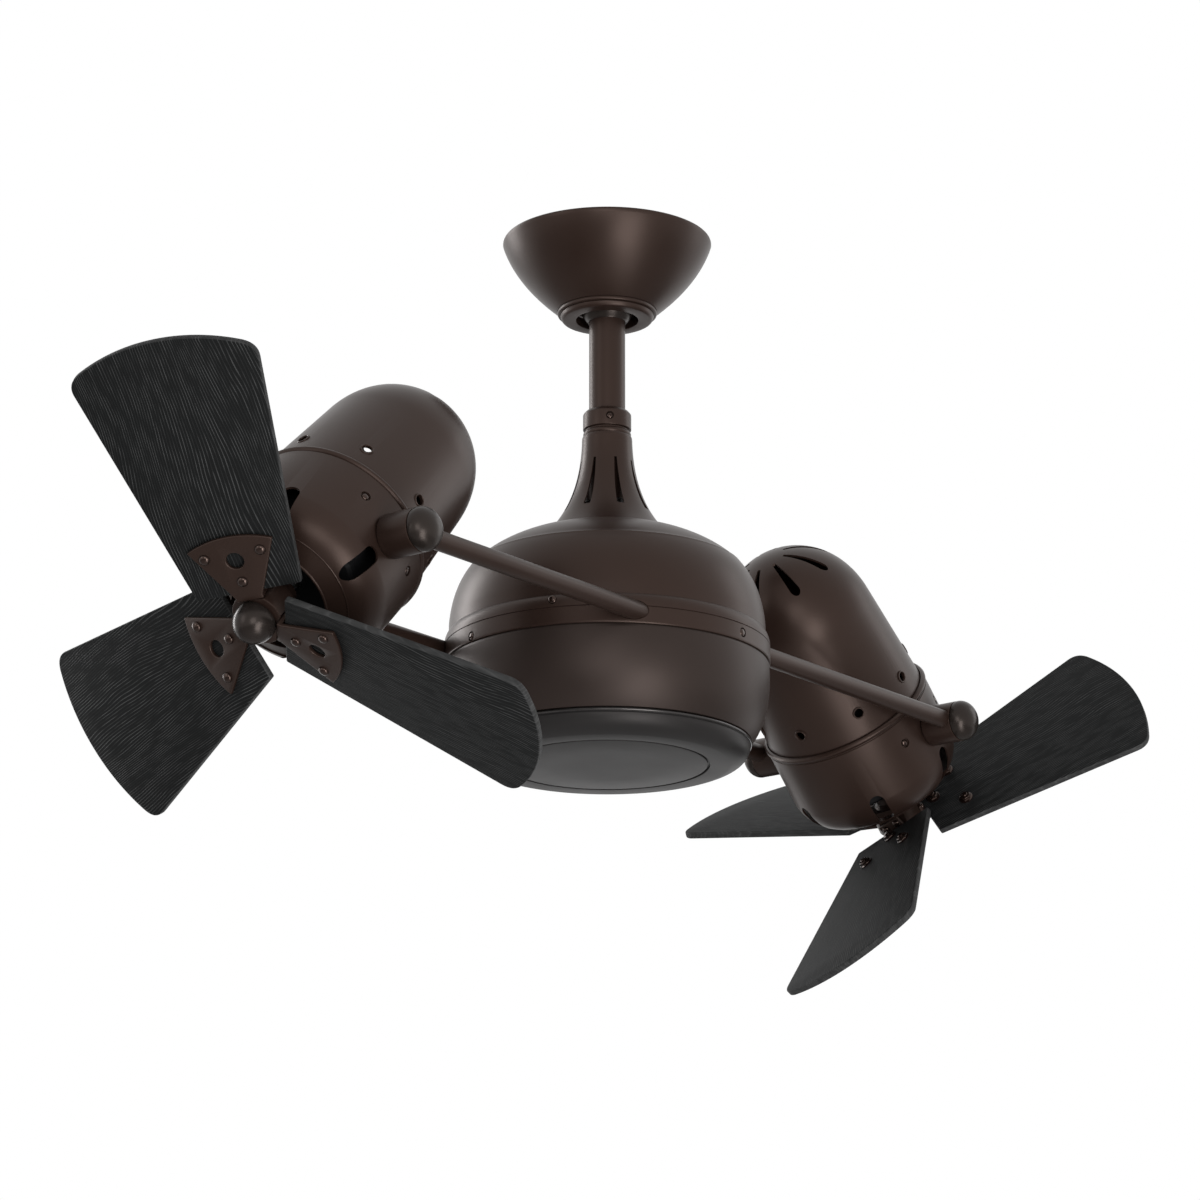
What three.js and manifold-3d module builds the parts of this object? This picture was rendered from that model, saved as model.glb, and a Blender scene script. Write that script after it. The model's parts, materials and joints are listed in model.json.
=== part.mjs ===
// Twin head ceiling fan: a canopy and downrod carry a turning central body, whose four arms hold
// two tilting fan heads with three wooden blades each.
// Units are millimetres and +Z is up. The origin is the centre of the canopy's ceiling face, the
// arms run along X, and the heads tilt about axes parallel to Y.

import * as THREE from 'three';
import { mergeVertices } from 'three/addons/utils/BufferGeometryUtils.js';
import ManifoldModule from 'manifold-3d';

const wasm = await ManifoldModule();
wasm.setup();

// ---------------------------------------------------------------- driving dimensions

const GAP = 0.3; // clearance between pieces that seat on each other
const RUN = 0.5; // clearance between pieces that turn past each other
const SHEET = 1.6; // wall of the spun and pressed covers

const THROUGH = 1; // how far a tool or a joined piece runs past the face it meets

// Facets round a turned piece, and steps along a curved stretch.
const FINE_FACETS = 26;
const MEDIUM_FACETS = 24;
const BELL_FACETS = 16;
const COARSE_FACETS = 10;
const SMALL_FACETS = 8;
const HEX_FACETS = 6;
const BALL_STEPS = 6;
const TIP_STEPS = 6;
const DOME_STEPS = 3;
const END_STEPS = 3;

// Heights, measured down from the ceiling to the plane of the arms.
const ARM_DROP = 309;

// Canopy and its trim ring.
const CANOPY_R = 75.5;
const CANOPY_DEPTH = 52.5;
const CANOPY_LIP = 5;
const CANOPY_LIP_ROUND = 1.2;
const CANOPY_BEND = { r: 66.5, drop: 26 };
const CANOPY_NECK_R = 36;
const CANOPY_HOLE_R = 25;
const TRIM_FLANGE = 2.5;
const TRIM_STEP = 2.5;
const TRIM_DEPTH = 4;
const TRIM_HOLE_R = 22.4;

// Hanger bracket: ceiling plate, two straps and the cradle that holds the ball.
const BRACKET_PLATE = { length: 104, width: 44, thick: 2.5 };
const BRACKET_SLOT = { r: 2.75, travel: 14, spacing: 84 };
const STRAP = { width: 24, thick: 2.5, offset: 33 };
const CRADLE = { r: 38.5, thick: 2.5, drop: 41.5 };
const STUD = { r: 2.5, offset: 30 };
const WIRE_HOLE_R = 13;

// Hanger ball, its cross pin and the downrod.
const BALL = { r: 26, drop: 29.5, flat: 17 };
const BALL_NECK = {
  waistR: 17.8, waist: 48.5, r: 19.2, from: 52, bendR: 18.6, bendZ: 56, rimR: 14.2, rim: 61, lip: 0.6,
};
const PIN = { r: 3, length: 42 };
const ROD_R = 13;
const ROD_WALL = 2.5;
const ROD_ABOVE_PIN = 12;

// Coupling below the rod and the flared bell cover. Heights are above the arm plane.
const COLLAR = { r: 17.3, top: 180, bottom: 166, chamfer: 2.2 };
const COUPLING_TUBE_R = 15.4;
const COUPLING_WEB = { top: 140, thick: 4 };
const COUPLING_END = 112;
const BELL = { topR: 18, neck: 158, bendR: 19.2, bendZ: 113, footR: 42.5, foot: 90.6, footWall: 2.6 };
const BELL_SLOT = { count: 8, top: 141, bottom: 103, topWidth: 1.8, bottomWidth: 5.4, turn: -169 };

// Spindle, bearings and slip ring.
const SPINDLE_R = 8;
const SPINDLE_BORE_R = 3.5;
const SPINDLE_SHOULDER = { r: 12, height: 6 };
const SPINDLE_TAIL_R = 5;
const SPINDLE_NUT = { r: 12, height: 6 };
const BODY_BEARING = { r: 17.5, width: 9, seat: 31 };
const SLIP_RING = { r: 13, height: 15, grooves: 2, grooveDepth: 1 };
const BRUSH = { width: 12, depth: 9, foot: 6 };

// Turning body. Heights are above the arm plane, so the ones below it are negative.
const BELT = { r: 115.3, top: 12.6, bottom: -9, wall: 4, roll: 8.6, rollInset: 3 };
const DOME = {
  holeR: 22, crown: 91, bendR: 70, bendZ: 86, shoulderR: 95, shoulder: 63, step: 0.9,
  sideInset: 5.3, sideZ: 47, skirtInset: 3.3, skirt: 20, spigot: 3,
};
const BOWL = {
  rimInset: 2.7, shoulderInset: 0.7, shoulder: -12, bulge: 1.2, bendZ: -46, footR: 101.8, foot: -64.5,
};
const PLATE = {
  bendInset: 1.9, bendRise: 3.5, flatR: 86, floor: -81, edgeInset: 0.4, spigot: 5, groove: 1.2,
};
const CAP_R = 71;
const CAP_CROWN = 1;
const CAP_SPIGOT = { r: 58, height: 6 };
const WEB_THICK = 4.8;
const WEB_HOLE = { r: 18, circle: 62, count: 4 };
const HUB_R = 24;
const HUB_BORE_R = 11.2;
const LUG = { width: 19, inner: 46, outer: 62, top: 9 };

// Arms: two parallel rods on each side, each ending in a pivot boss.
const PIVOT_X = 309.7;
const ARM_OFFSET = 84.5;
const ARM_R = 6.75;
const ARM_INNER = 50;
const BOSS_R = 15;
const BOSS_END = 91.3;
const KNOB = { base: 1, dome: 12, shankR: 4, nutR: 7, nutHeight: 4 };

// Head shells. Stations run along the head's own axis, forwards from the tilt axis.
const HEAD = {
  tip: -166.5, tipPull: 27, bendS: -146, bendR: 55.5, domeS: -106, domeR: 57.8,
  seam: -29, rearR: 63.4,
};
const FRONT = {
  r: 65.8, bead: 6, beadFlat: 4.8, beadRise: 1.1, cornerS: 24, cornerPullS: 41, cornerPullR: 63,
  ridgeS: 47.2, ridgeR: 50.5, mouthS: 54, mouthR: 37.5, lip: 2.9,
};
const AIR_SLOT = { count: 8, turn: -94, innerR: 15, outerR: 44.5, innerWidth: 2.4, outerWidth: 7.5 };
const ROUND_HOLE = { count: 8, s: -46, r: 3 };
const OBLONG = { count: 6, turn: -90, from: 25, to: 41, width: 9 };
const SHELL_SCREW = { s: -6, spread: 26.5 };

// Motor in each head.
const MOTOR = { r: 50, wall: 3, back: -62, front: 26, rearWall: 6, chamfer: 4, cover: 6, coverChamfer: 2 };
const LUG_WIDTH = 12;
const STATOR = { bore: 28, core: 40, coil: 9, coilInset: 3 };
const ROTOR = { r: 26, inset: 1 };
const SHAFT_R = 6;
const SHAFT_HOLE_R = 7;
const MOTOR_BEARING = { r: 13, width: 7 };
const BEARING_BOSS = { r: 18, rise: 2, depth: 7, lip: 1 };

// Blade hub, irons, blades and nose.
const BLADE_PLANE = 73.7;
const BLADE_COUNT = 3;
const PITCH = THREE.MathUtils.degToRad(17.1);
const HUB = { r: 18.6, flat: 15, back: 57, front: 77.3, collarR: 10.5, collar: 44, taper: 3 };
const NOSE = { r: 14.4, base: 1.6, tip: 96.3, socket: 8, room: 2 };
const BLADE = { root: 19.8, rootHalf: 36.2, tip: 187.4, tipHalf: 64.7, bulge: 17, thick: 5 };
const BLADE_ROUND = 9;
const IRON = {
  neck: 15.3, neckHalf: 9.5, waist: 18.3, corner: 56.5, cornerHalf: 29.6, bulge: 6.4,
  thick: 3, tongue: 15, holeAt: 45.1, holeR: 5.8,
};

// Pose in the photo: how far each head's axis leans out from straight down, and blade clocking.
const HEADS = {
  left: { side: -1, tilt: 43.8, clock: -10.8 },
  right: { side: 1, tilt: 45.7, clock: -12.3 },
};

// ---------------------------------------------------------------- materials

function bronze(roughness = 0.42) {
  return new THREE.MeshStandardMaterial({ color: 0x3a302d, roughness, metalness: 0.8 });
}

function blackWood() {
  return new THREE.MeshStandardMaterial({ color: 0x1e1e1f, roughness: 0.65, metalness: 0 });
}

function steel() {
  return new THREE.MeshStandardMaterial({ color: 0x9a9a98, roughness: 0.35, metalness: 1 });
}

function darkSteel() {
  return new THREE.MeshStandardMaterial({ color: 0x2b2c2f, roughness: 0.55, metalness: 0.7 });
}

function insulation() {
  return new THREE.MeshStandardMaterial({ color: 0x35332f, roughness: 0.8, metalness: 0 });
}

// ---------------------------------------------------------------- solids

// Welded copy of a three.js geometry as a solid for joining and cutting.
function solidOf(geometry) {
  const bare = geometry.clone();
  bare.deleteAttribute('normal');
  bare.deleteAttribute('uv');
  const welded = mergeVertices(bare, 1e-4);
  const mesh = new wasm.Mesh({
    numProp: 3,
    vertProperties: new Float32Array(welded.attributes.position.array),
    triVerts: new Uint32Array(welded.index.array),
  });
  mesh.merge();
  return new wasm.Manifold(mesh);
}

function geometryOf(solid) {
  const mesh = solid.getMesh();
  const geometry = new THREE.BufferGeometry();
  geometry.setAttribute('position', new THREE.BufferAttribute(new Float32Array(mesh.vertProperties), 3));
  geometry.setIndex(new THREE.BufferAttribute(new Uint32Array(mesh.triVerts), 1));
  geometry.computeVertexNormals();
  return geometry;
}

function join(...geometries) {
  return geometryOf(geometries.map(solidOf).reduce((sum, next) => sum.add(next)));
}

function cut(geometry, tools) {
  return geometryOf(tools.map(solidOf).reduce((rest, tool) => rest.subtract(tool), solidOf(geometry)));
}

// Solid of revolution about Z from closed [r, z] outline points, given anticlockwise.
function revolve(outline, facets) {
  const loop = outline.map(([r, z]) => new THREE.Vector2(r, z));
  loop.push(loop[0].clone());
  return new THREE.LatheGeometry(loop, facets).rotateX(Math.PI / 2);
}

// Turned about Z so that the middle of a facet, not an edge, faces the given direction.
function facing(geometry, degrees, facets) {
  return geometry.rotateZ(THREE.MathUtils.degToRad(degrees + 90 - 180 / facets));
}

// Round bar along Z from one height to the other.
function bar(r, from, to, facets, endR = r) {
  return new THREE.CylinderGeometry(endR, r, to - from, facets)
    .rotateX(Math.PI / 2)
    .translate(0, 0, (from + to) / 2);
}

function tube(r, bore, from, to, facets) {
  return revolve([[bore, from], [r, from], [r, to], [bore, to]], facets);
}

// Box between two corners.
function block(low, high) {
  const size = high.map((value, i) => value - low[i]);
  const centre = high.map((value, i) => (value + low[i]) / 2);
  return new THREE.BoxGeometry(...size).translate(...centre);
}

// Points of a quadratic bend from one [r, z] to another, leaving out the start point.
function bend(from, pull, to, steps) {
  const curve = new THREE.QuadraticBezierCurve(...[from, pull, to].map((p) => new THREE.Vector2(...p)));
  return curve.getPoints(steps).slice(1).map((p) => [p.x, p.y]);
}

// Same outline moved square to itself, for the inside of a sheet wall.
function offsetLine(line, distance) {
  return line.map(([r, z], i) => {
    const before = line[Math.max(i - 1, 0)];
    const after = line[Math.min(i + 1, line.length - 1)];
    const run = new THREE.Vector2(after[0] - before[0], after[1] - before[1]).normalize();
    return [Math.max(r - run.y * distance, 0), z + run.x * distance];
  });
}

// Inside of a sheet wall, from the outline's end back to its start, with every second point.
function insideOf(outline, distance) {
  const line = offsetLine(outline, distance);
  return line.filter((_, i) => i % 2 === 0 || i === line.length - 1).reverse();
}

// Shape with an arc of the given bulge joining its last point to the target.
function arcTo(shape, from, to, bulge, steps) {
  const half = Math.hypot(to[0] - from[0], to[1] - from[1]) / 2;
  const r = (half * half + bulge * bulge) / (2 * bulge);
  const mid = [(from[0] + to[0]) / 2, (from[1] + to[1]) / 2];
  const out = [(from[1] - to[1]) / (2 * half), (to[0] - from[0]) / (2 * half)];
  const centre = [mid[0] + out[0] * (r - bulge), mid[1] + out[1] * (r - bulge)];
  const start = Math.atan2(from[1] - centre[1], from[0] - centre[0]);
  const sweep = 2 * Math.asin(half / r);
  for (let i = 1; i <= steps; i++) {
    const angle = start + (sweep * i) / steps;
    shape.lineTo(centre[0] + r * Math.cos(angle), centre[1] + r * Math.sin(angle));
  }
}

// Points of an arc on the XY plane, both ends included; angles in degrees.
function arcPoints(x, y, r, from, to, steps) {
  return Array.from({ length: steps + 1 }, (_, i) => {
    const angle = THREE.MathUtils.degToRad(from + ((to - from) * i) / steps);
    return new THREE.Vector2(x + r * Math.cos(angle), y + r * Math.sin(angle));
  });
}

function roundPath(x, y, r, facets) {
  return new THREE.Path(arcPoints(x, y, r, 0, 360, facets).slice(1));
}

// Long slot with round ends along X, as a cutting bar along Z.
function slotBar(length, width, from, to) {
  const reach = (length - width) / 2;
  return extrude(new THREE.Shape([
    ...arcPoints(reach, 0, width / 2, -90, 90, END_STEPS),
    ...arcPoints(-reach, 0, width / 2, 90, 270, END_STEPS),
  ]), from, to);
}

function extrude(shape, from, to) {
  return new THREE.ExtrudeGeometry(shape, { depth: to - from, bevelEnabled: false, curveSegments: 1 })
    .translate(0, 0, from);
}

// Copies of one tool turned about Z.
function ringOf(count, turn, make) {
  return Array.from({ length: count }, (_, i) => {
    return make().rotateZ(THREE.MathUtils.degToRad(turn + (360 * i) / count));
  });
}

function mesh(name, geometry, material) {
  const part = new THREE.Mesh(geometry, material);
  part.name = name;
  return part;
}

// ---------------------------------------------------------------- ceiling side

const canopyWall = bend(
  [CANOPY_NECK_R, -CANOPY_DEPTH], [CANOPY_BEND.r, -CANOPY_BEND.drop], [CANOPY_R, -CANOPY_LIP], 4,
);

// Bowl shaped cover: open at the ceiling, with a floor that the trim ring covers.
function canopy() {
  const outside = [[CANOPY_NECK_R, -CANOPY_DEPTH], ...canopyWall, [CANOPY_R - CANOPY_LIP_ROUND, 0]];
  const inside = insideOf(canopyWall, SHEET);
  const rim = [CANOPY_R - CANOPY_LIP_ROUND - SHEET, 0];
  const floor = -CANOPY_DEPTH + SHEET;
  const shell = revolve([
    [CANOPY_HOLE_R, -CANOPY_DEPTH], ...outside, rim, ...inside,
    [CANOPY_NECK_R - SHEET / 2, floor], [CANOPY_HOLE_R, floor],
  ], MEDIUM_FACETS);
  return cut(shell, ringOf(2, 0, () => {
    return bar(STUD.r + GAP, -CANOPY_DEPTH - THROUGH, floor + THROUGH, SMALL_FACETS)
      .translate(STUD.offset, 0, 0);
  }));
}

// Two stepped ring that hides the canopy's floor and its two studs.
function trimRing() {
  const top = -CANOPY_DEPTH - GAP;
  const lowR = CANOPY_NECK_R - TRIM_STEP;
  return revolve([
    [TRIM_HOLE_R, top - TRIM_FLANGE - TRIM_DEPTH], [lowR, top - TRIM_FLANGE - TRIM_DEPTH],
    [lowR, top - TRIM_FLANGE], [CANOPY_NECK_R, top - TRIM_FLANGE], [CANOPY_NECK_R, top],
    [TRIM_HOLE_R, top],
  ], MEDIUM_FACETS);
}

// Ceiling plate with two screw slots, two straps, and the cradle with studs for the canopy.
function hangerBracket() {
  const { length, width, thick } = BRACKET_PLATE;
  const plate = block([-width / 2, -length / 2, -thick], [width / 2, length / 2, 0]);
  const strap = () => block(
    [-STRAP.width / 2, STRAP.offset, -CRADLE.drop - CRADLE.thick / 2],
    [STRAP.width / 2, STRAP.offset + STRAP.thick, -thick / 2],
  );
  const cradle = bar(CRADLE.r, -CRADLE.drop - CRADLE.thick, -CRADLE.drop, MEDIUM_FACETS);
  const studs = ringOf(2, 0, () => {
    return bar(STUD.r, -CANOPY_DEPTH, -CRADLE.drop - CRADLE.thick / 2, SMALL_FACETS)
      .translate(STUD.offset, 0, 0);
  });
  const body = join(plate, ...ringOf(2, 0, strap), cradle, ...studs);
  const slots = ringOf(2, 90, () => {
    return slotBar(BRACKET_SLOT.travel, 2 * BRACKET_SLOT.r, -thick - THROUGH, THROUGH)
      .translate(BRACKET_SLOT.spacing / 2, 0, 0);
  });
  const ballR = (z) => Math.sqrt(BALL.r ** 2 - (z + BALL.drop) ** 2);
  const seatR = (z) => ballR(z) / Math.cos(Math.PI / MEDIUM_FACETS) + GAP;
  const seat = [-CRADLE.drop - CRADLE.thick, -CRADLE.drop];
  const ballSeat = bar(seatR(seat[0]), ...seat, MEDIUM_FACETS, seatR(seat[1]));
  const wireHole = bar(WIRE_HOLE_R, -thick - THROUGH, THROUGH, COARSE_FACETS);
  return cut(body, [wireHole, ballSeat, ...slots]);
}

// Ball that rocks in the cradle, with a flared neck below it, bored for the rod and its cross pin.
// The waist between them lets the ball rock without reaching the cradle's edge.
function hangerBall() {
  const arc = [];
  const limit = Math.asin(BALL.flat / BALL.r);
  for (let i = 0; i <= BALL_STEPS; i++) {
    const angle = -limit + (2 * limit * i) / BALL_STEPS;
    arc.push([BALL.r * Math.cos(angle), -BALL.drop + BALL.r * Math.sin(angle)]);
  }
  const bore = ROD_R + GAP;
  const { waistR, waist, r, from, bendR, bendZ, rimR, rim, lip } = BALL_NECK;
  const neck = bend([r, -from], [bendR, -bendZ], [rimR, lip - rim], 3).reverse();
  const ball = revolve([
    [bore, -rim], [rimR, -rim], ...neck, [r, -from], [waistR, -waist], ...arc, [bore, arc.at(-1)[1]],
  ], COARSE_FACETS);
  return cut(ball, [crossPin(PIN.r + GAP, 3 * BALL.r)]);
}

function crossPin(r = PIN.r, length = PIN.length) {
  return bar(r, -length / 2, length / 2, SMALL_FACETS).rotateY(Math.PI / 2).translate(0, 0, -BALL.drop);
}

function downrod() {
  const rod = tube(
    ROD_R, ROD_R - ROD_WALL, -ARM_DROP + COUPLING_WEB.top + GAP, -BALL.drop + ROD_ABOVE_PIN, COARSE_FACETS,
  );
  return cut(rod, [crossPin(PIN.r + GAP, 3 * ROD_R)]);
}

// Socket that joins rod to spindle, with the chamfered collar that shows above the bell.
function couplingCollar() {
  const { r, top, bottom, chamfer } = COLLAR;
  const web = [COUPLING_WEB.top, COUPLING_WEB.top - COUPLING_WEB.thick];
  return revolve([
    [SPINDLE_R + GAP, COUPLING_END], [COUPLING_TUBE_R, COUPLING_END], [COUPLING_TUBE_R, bottom],
    [r, bottom], [r, top - chamfer], [r - chamfer, top], [ROD_R + GAP, top], [ROD_R + GAP, web[0]],
    [SPINDLE_BORE_R, web[0]], [SPINDLE_BORE_R, web[1]], [SPINDLE_R + GAP, web[1]],
  ], COARSE_FACETS);
}

// Flared cover with tall slots that widen downwards.
function bellCover() {
  const { topR, neck, bendR, bendZ, footR, foot } = BELL;
  const outside = [
    [footR, foot], ...bend([footR, foot], [bendR, bendZ], [topR, neck], 4), [topR, COLLAR.bottom - GAP],
  ];
  const inside = offsetLine(outside, SHEET).reverse();
  inside[0] = [inside[0][0], outside.at(-1)[1]];
  inside[inside.length - 1] = [footR - BELL.footWall, foot];
  const bell = facing(revolve([...outside, ...inside], BELL_FACETS), BELL_SLOT.turn, BELL_FACETS);
  return cut(bell, ringOf(BELL_SLOT.count, BELL_SLOT.turn, bellSlot));
}

function bellSlot() {
  const { top, bottom, topWidth, bottomWidth } = BELL_SLOT;
  const shape = new THREE.Shape();
  shape.moveTo(-bottomWidth / 2, bottom);
  shape.lineTo(bottomWidth / 2, bottom);
  shape.lineTo(topWidth / 2, top);
  shape.lineTo(-topWidth / 2, top);
  return extrude(shape, COUPLING_TUBE_R, BELL.footR).rotateX(Math.PI / 2).rotateZ(Math.PI / 2);
}

// ---------------------------------------------------------------- spindle group

const bearingTop = BODY_BEARING.seat + BODY_BEARING.width;
const nutBottom = -bearingTop - GAP - SPINDLE_NUT.height;
const slipTop = nutBottom - 2 * GAP;

// Still spindle: it hangs from the coupling and carries both bearings of the turning body.
function spindle() {
  const shoulder = bearingTop + GAP;
  const tail = slipTop - SLIP_RING.height;
  return revolve([
    [SPINDLE_BORE_R, tail], [SPINDLE_TAIL_R, tail], [SPINDLE_TAIL_R, slipTop + GAP],
    [SPINDLE_R, slipTop + GAP], [SPINDLE_R, shoulder],
    [SPINDLE_SHOULDER.r, shoulder], [SPINDLE_SHOULDER.r, shoulder + SPINDLE_SHOULDER.height],
    [SPINDLE_R, shoulder + SPINDLE_SHOULDER.height],
    [SPINDLE_R, COUPLING_WEB.top - COUPLING_WEB.thick - GAP],
    [SPINDLE_BORE_R, COUPLING_WEB.top - COUPLING_WEB.thick - GAP],
  ], COARSE_FACETS);
}

function spindleNut() {
  return cut(bar(SPINDLE_NUT.r, nutBottom, nutBottom + SPINDLE_NUT.height, HEX_FACETS), [
    bar(SPINDLE_R + GAP, nutBottom - THROUGH, nutBottom + SPINDLE_NUT.height + THROUGH, COARSE_FACETS),
  ]);
}

function bodyBearing(seat) {
  return tube(BODY_BEARING.r, SPINDLE_R + RUN, seat, seat + BODY_BEARING.width, COARSE_FACETS);
}

// Drum with contact grooves that feeds both motors while the body turns.
function slipRing() {
  const { r, height, grooves, grooveDepth } = SLIP_RING;
  const pitch = height / (2 * grooves + 1);
  const outline = [[SPINDLE_TAIL_R + GAP, slipTop - height], [r, slipTop - height]];
  for (let i = 0; i < grooves; i++) {
    const low = slipTop - height + (2 * i + 1) * pitch;
    outline.push([r, low], [r - grooveDepth, low], [r - grooveDepth, low + pitch], [r, low + pitch]);
  }
  outline.push([r, slipTop], [SPINDLE_TAIL_R + GAP, slipTop]);
  return revolve(outline, COARSE_FACETS);
}

// Brush holder hung under the carrier's web, up against the slip ring.
function brushBlock() {
  const near = SLIP_RING.r + RUN;
  const top = webBottom - GAP;
  const post = HUB_R + GAP;
  return join(
    block([near, -BRUSH.width / 2, slipTop - SLIP_RING.height],
      [near + BRUSH.depth, BRUSH.width / 2, slipTop]),
    block([near + BRUSH.depth - THROUGH, -BRUSH.width / 2, slipTop - SLIP_RING.height],
      [post + BRUSH.foot, BRUSH.width / 2, slipTop - SLIP_RING.height + BRUSH.foot]),
    block([post, -BRUSH.width / 2, slipTop - SLIP_RING.height],
      [post + BRUSH.foot, BRUSH.width / 2, top]),
  );
}

// ---------------------------------------------------------------- turning body

const domeOutside = (() => {
  const { holeR, crown, bendR, bendZ, shoulderR, shoulder, step, sideInset, sideZ, skirt } = DOME;
  const skirtR = BELT.r - DOME.skirtInset;
  const lip = [shoulderR + step, shoulder - step];
  return [
    [skirtR, BELT.top + GAP], [skirtR, skirt],
    ...bend([skirtR, skirt], [BELT.r - sideInset, sideZ], lip, 2),
    [shoulderR, shoulder],
    ...bend([shoulderR, shoulder], [bendR, bendZ], [holeR, crown], 3),
  ];
})();

// Upper cover: soft dome with a stepped shoulder and a spigot inside the belt.
function upperDome() {
  const inside = insideOf(domeOutside.slice(1), SHEET);
  inside[0] = [DOME.holeR, DOME.crown - SHEET];
  const spigotR = BELT.r - BELT.wall - GAP;
  const spigotEnd = BELT.top - DOME.spigot;
  return revolve([
    [spigotR, spigotEnd], [spigotR, BELT.top + GAP], ...domeOutside, ...inside,
    [spigotR - SHEET, BELT.top + GAP], [spigotR - SHEET, spigotEnd],
  ], FINE_FACETS);
}

const webTop = -ARM_R - GAP;
const webBottom = webTop - WEB_THICK;
const bowlRimR = BELT.r - BOWL.rimInset;

// Belt, web, bearing hub and the four sockets that take the arms, cast as one carrier.
function carrierRing() {
  const { r, top, bottom, wall, roll, rollInset } = BELT;
  const innerR = r - wall;
  const spigotR = bowlRimR - SHEET - 2 * GAP;
  const rolled = bend([r, top - roll], [r, top - roll / 2], [r - rollInset, top], 3);
  const ring = revolve([
    [HUB_R - THROUGH, webBottom], [spigotR, webBottom], [spigotR, bottom], [r, bottom],
    [r, top - roll], ...rolled, [innerR, top], [innerR, webTop], [HUB_R - THROUGH, webTop],
  ], FINE_FACETS);
  const hub = tube(HUB_R, HUB_BORE_R, -bearingTop, bearingTop, COARSE_FACETS);
  const sockets = [-1, 1].flatMap((x) => [-1, 1].map((y) => socketLug(x, y)));
  const seats = [
    [-bearingTop - THROUGH, -BODY_BEARING.seat + GAP], [BODY_BEARING.seat - GAP, bearingTop + THROUGH],
  ];
  return cut(join(ring, hub, ...sockets), [
    ...seats.map(([from, to]) => bar(BODY_BEARING.r + GAP, from, to, COARSE_FACETS)),
    ...ringOf(WEB_HOLE.count, 0, () => {
      return bar(WEB_HOLE.r, webBottom - THROUGH, webTop + THROUGH, SMALL_FACETS)
        .translate(WEB_HOLE.circle, 0, 0);
    }),
    ...[-1, 1].flatMap((x) => [-1, 1].map((y) => {
      return bar(ARM_R + GAP, ARM_INNER - GAP, BELT.r, COARSE_FACETS).rotateY(x * Math.PI / 2)
        .translate(0, y * ARM_OFFSET, 0);
    })),
  ]);
}

// Block on the web around an arm's inner end, running out into the belt's wall.
function socketLug(x, y) {
  const foot = webTop - THROUGH;
  const size = [LUG.outer - LUG.inner, LUG.width, LUG.top - foot];
  return new THREE.BoxGeometry(...size).translate(
    x * (LUG.outer + LUG.inner) / 2, y * ARM_OFFSET, (LUG.top + foot) / 2,
  );
}

// Lower cover: barrel shaped bowl under the belt, open at the bottom for the plate.
function lowerBowl() {
  const { shoulderInset, shoulder, bulge, bendZ, footR, foot } = BOWL;
  const rim = BELT.bottom - GAP;
  const wall = bend([footR, foot], [BELT.r + bulge, bendZ], [BELT.r - shoulderInset, shoulder], 5);
  const outside = [[footR, foot], ...wall, [bowlRimR, rim]];
  const inside = insideOf(wall, SHEET);
  return revolve([
    [footR - 2 * SHEET, foot], ...outside, [bowlRimR - SHEET, rim], ...inside,
    [footR - 2 * SHEET, foot + SHEET],
  ], FINE_FACETS);
}

const plateTop = BOWL.foot - GAP;

// Shallow pan that closes the bowl, with a groove around the centre cap.
function bottomPlate() {
  const { bendInset, bendRise, flatR, floor, edgeInset, spigot, groove } = PLATE;
  const edge = [BOWL.footR - edgeInset, plateTop];
  const turned = bend([flatR, floor], [BOWL.footR - bendInset, floor + bendRise], edge, 3);
  const outside = [[flatR, floor], ...turned];
  const inside = offsetLine(outside, SHEET).slice(0, -1).reverse();
  const spigotR = BOWL.footR - 2 * SHEET - GAP;
  const holeR = CAP_SPIGOT.r + GAP;
  const lip = CAP_R + groove;
  return revolve([
    [holeR, floor + SHEET], [lip, floor + SHEET], [lip, floor], ...outside,
    [spigotR, plateTop], [spigotR, plateTop + spigot], [spigotR - SHEET, plateTop + spigot],
    ...inside.filter(([r]) => r < spigotR - SHEET), [holeR, floor + 2 * SHEET],
  ], FINE_FACETS);
}

// Round cap in the middle of the plate, with a spigot that holds it in the plate's hole.
function centreCap() {
  const top = PLATE.floor + SHEET - GAP;
  const { r, height } = CAP_SPIGOT;
  return revolve([
    [0, PLATE.floor - CAP_CROWN], [CAP_R, PLATE.floor],
    [CAP_R, top], [r, top], [r, top + height], [0, top + height],
  ], FINE_FACETS);
}

// ---------------------------------------------------------------- arms

// Piece made for the rear right arm, turned over to the arm that lies along the given signs.
function onArm(geometry, x, y) {
  const turned = x * y > 0 ? geometry : geometry.rotateX(Math.PI);
  return x > 0 ? turned : turned.rotateZ(Math.PI);
}

// Rod welded to its pivot boss; sides say which way along X and Y the arm lies.
function arm(x, y) {
  const rod = bar(ARM_R, ARM_INNER, PIVOT_X, COARSE_FACETS).rotateY(Math.PI / 2)
    .translate(0, ARM_OFFSET, 0);
  const boss = bar(BOSS_R, FRONT.r + RUN, BOSS_END, COARSE_FACETS).rotateX(-Math.PI / 2)
    .translate(PIVOT_X, 0, 0);
  const bore = bar(KNOB.shankR + GAP, 0, 2 * BOSS_END, COARSE_FACETS).rotateX(-Math.PI / 2)
    .translate(PIVOT_X, 0, 0);
  const made = cut(join(rod, boss), [bore]);
  return onArm(made, x, y);
}

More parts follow.
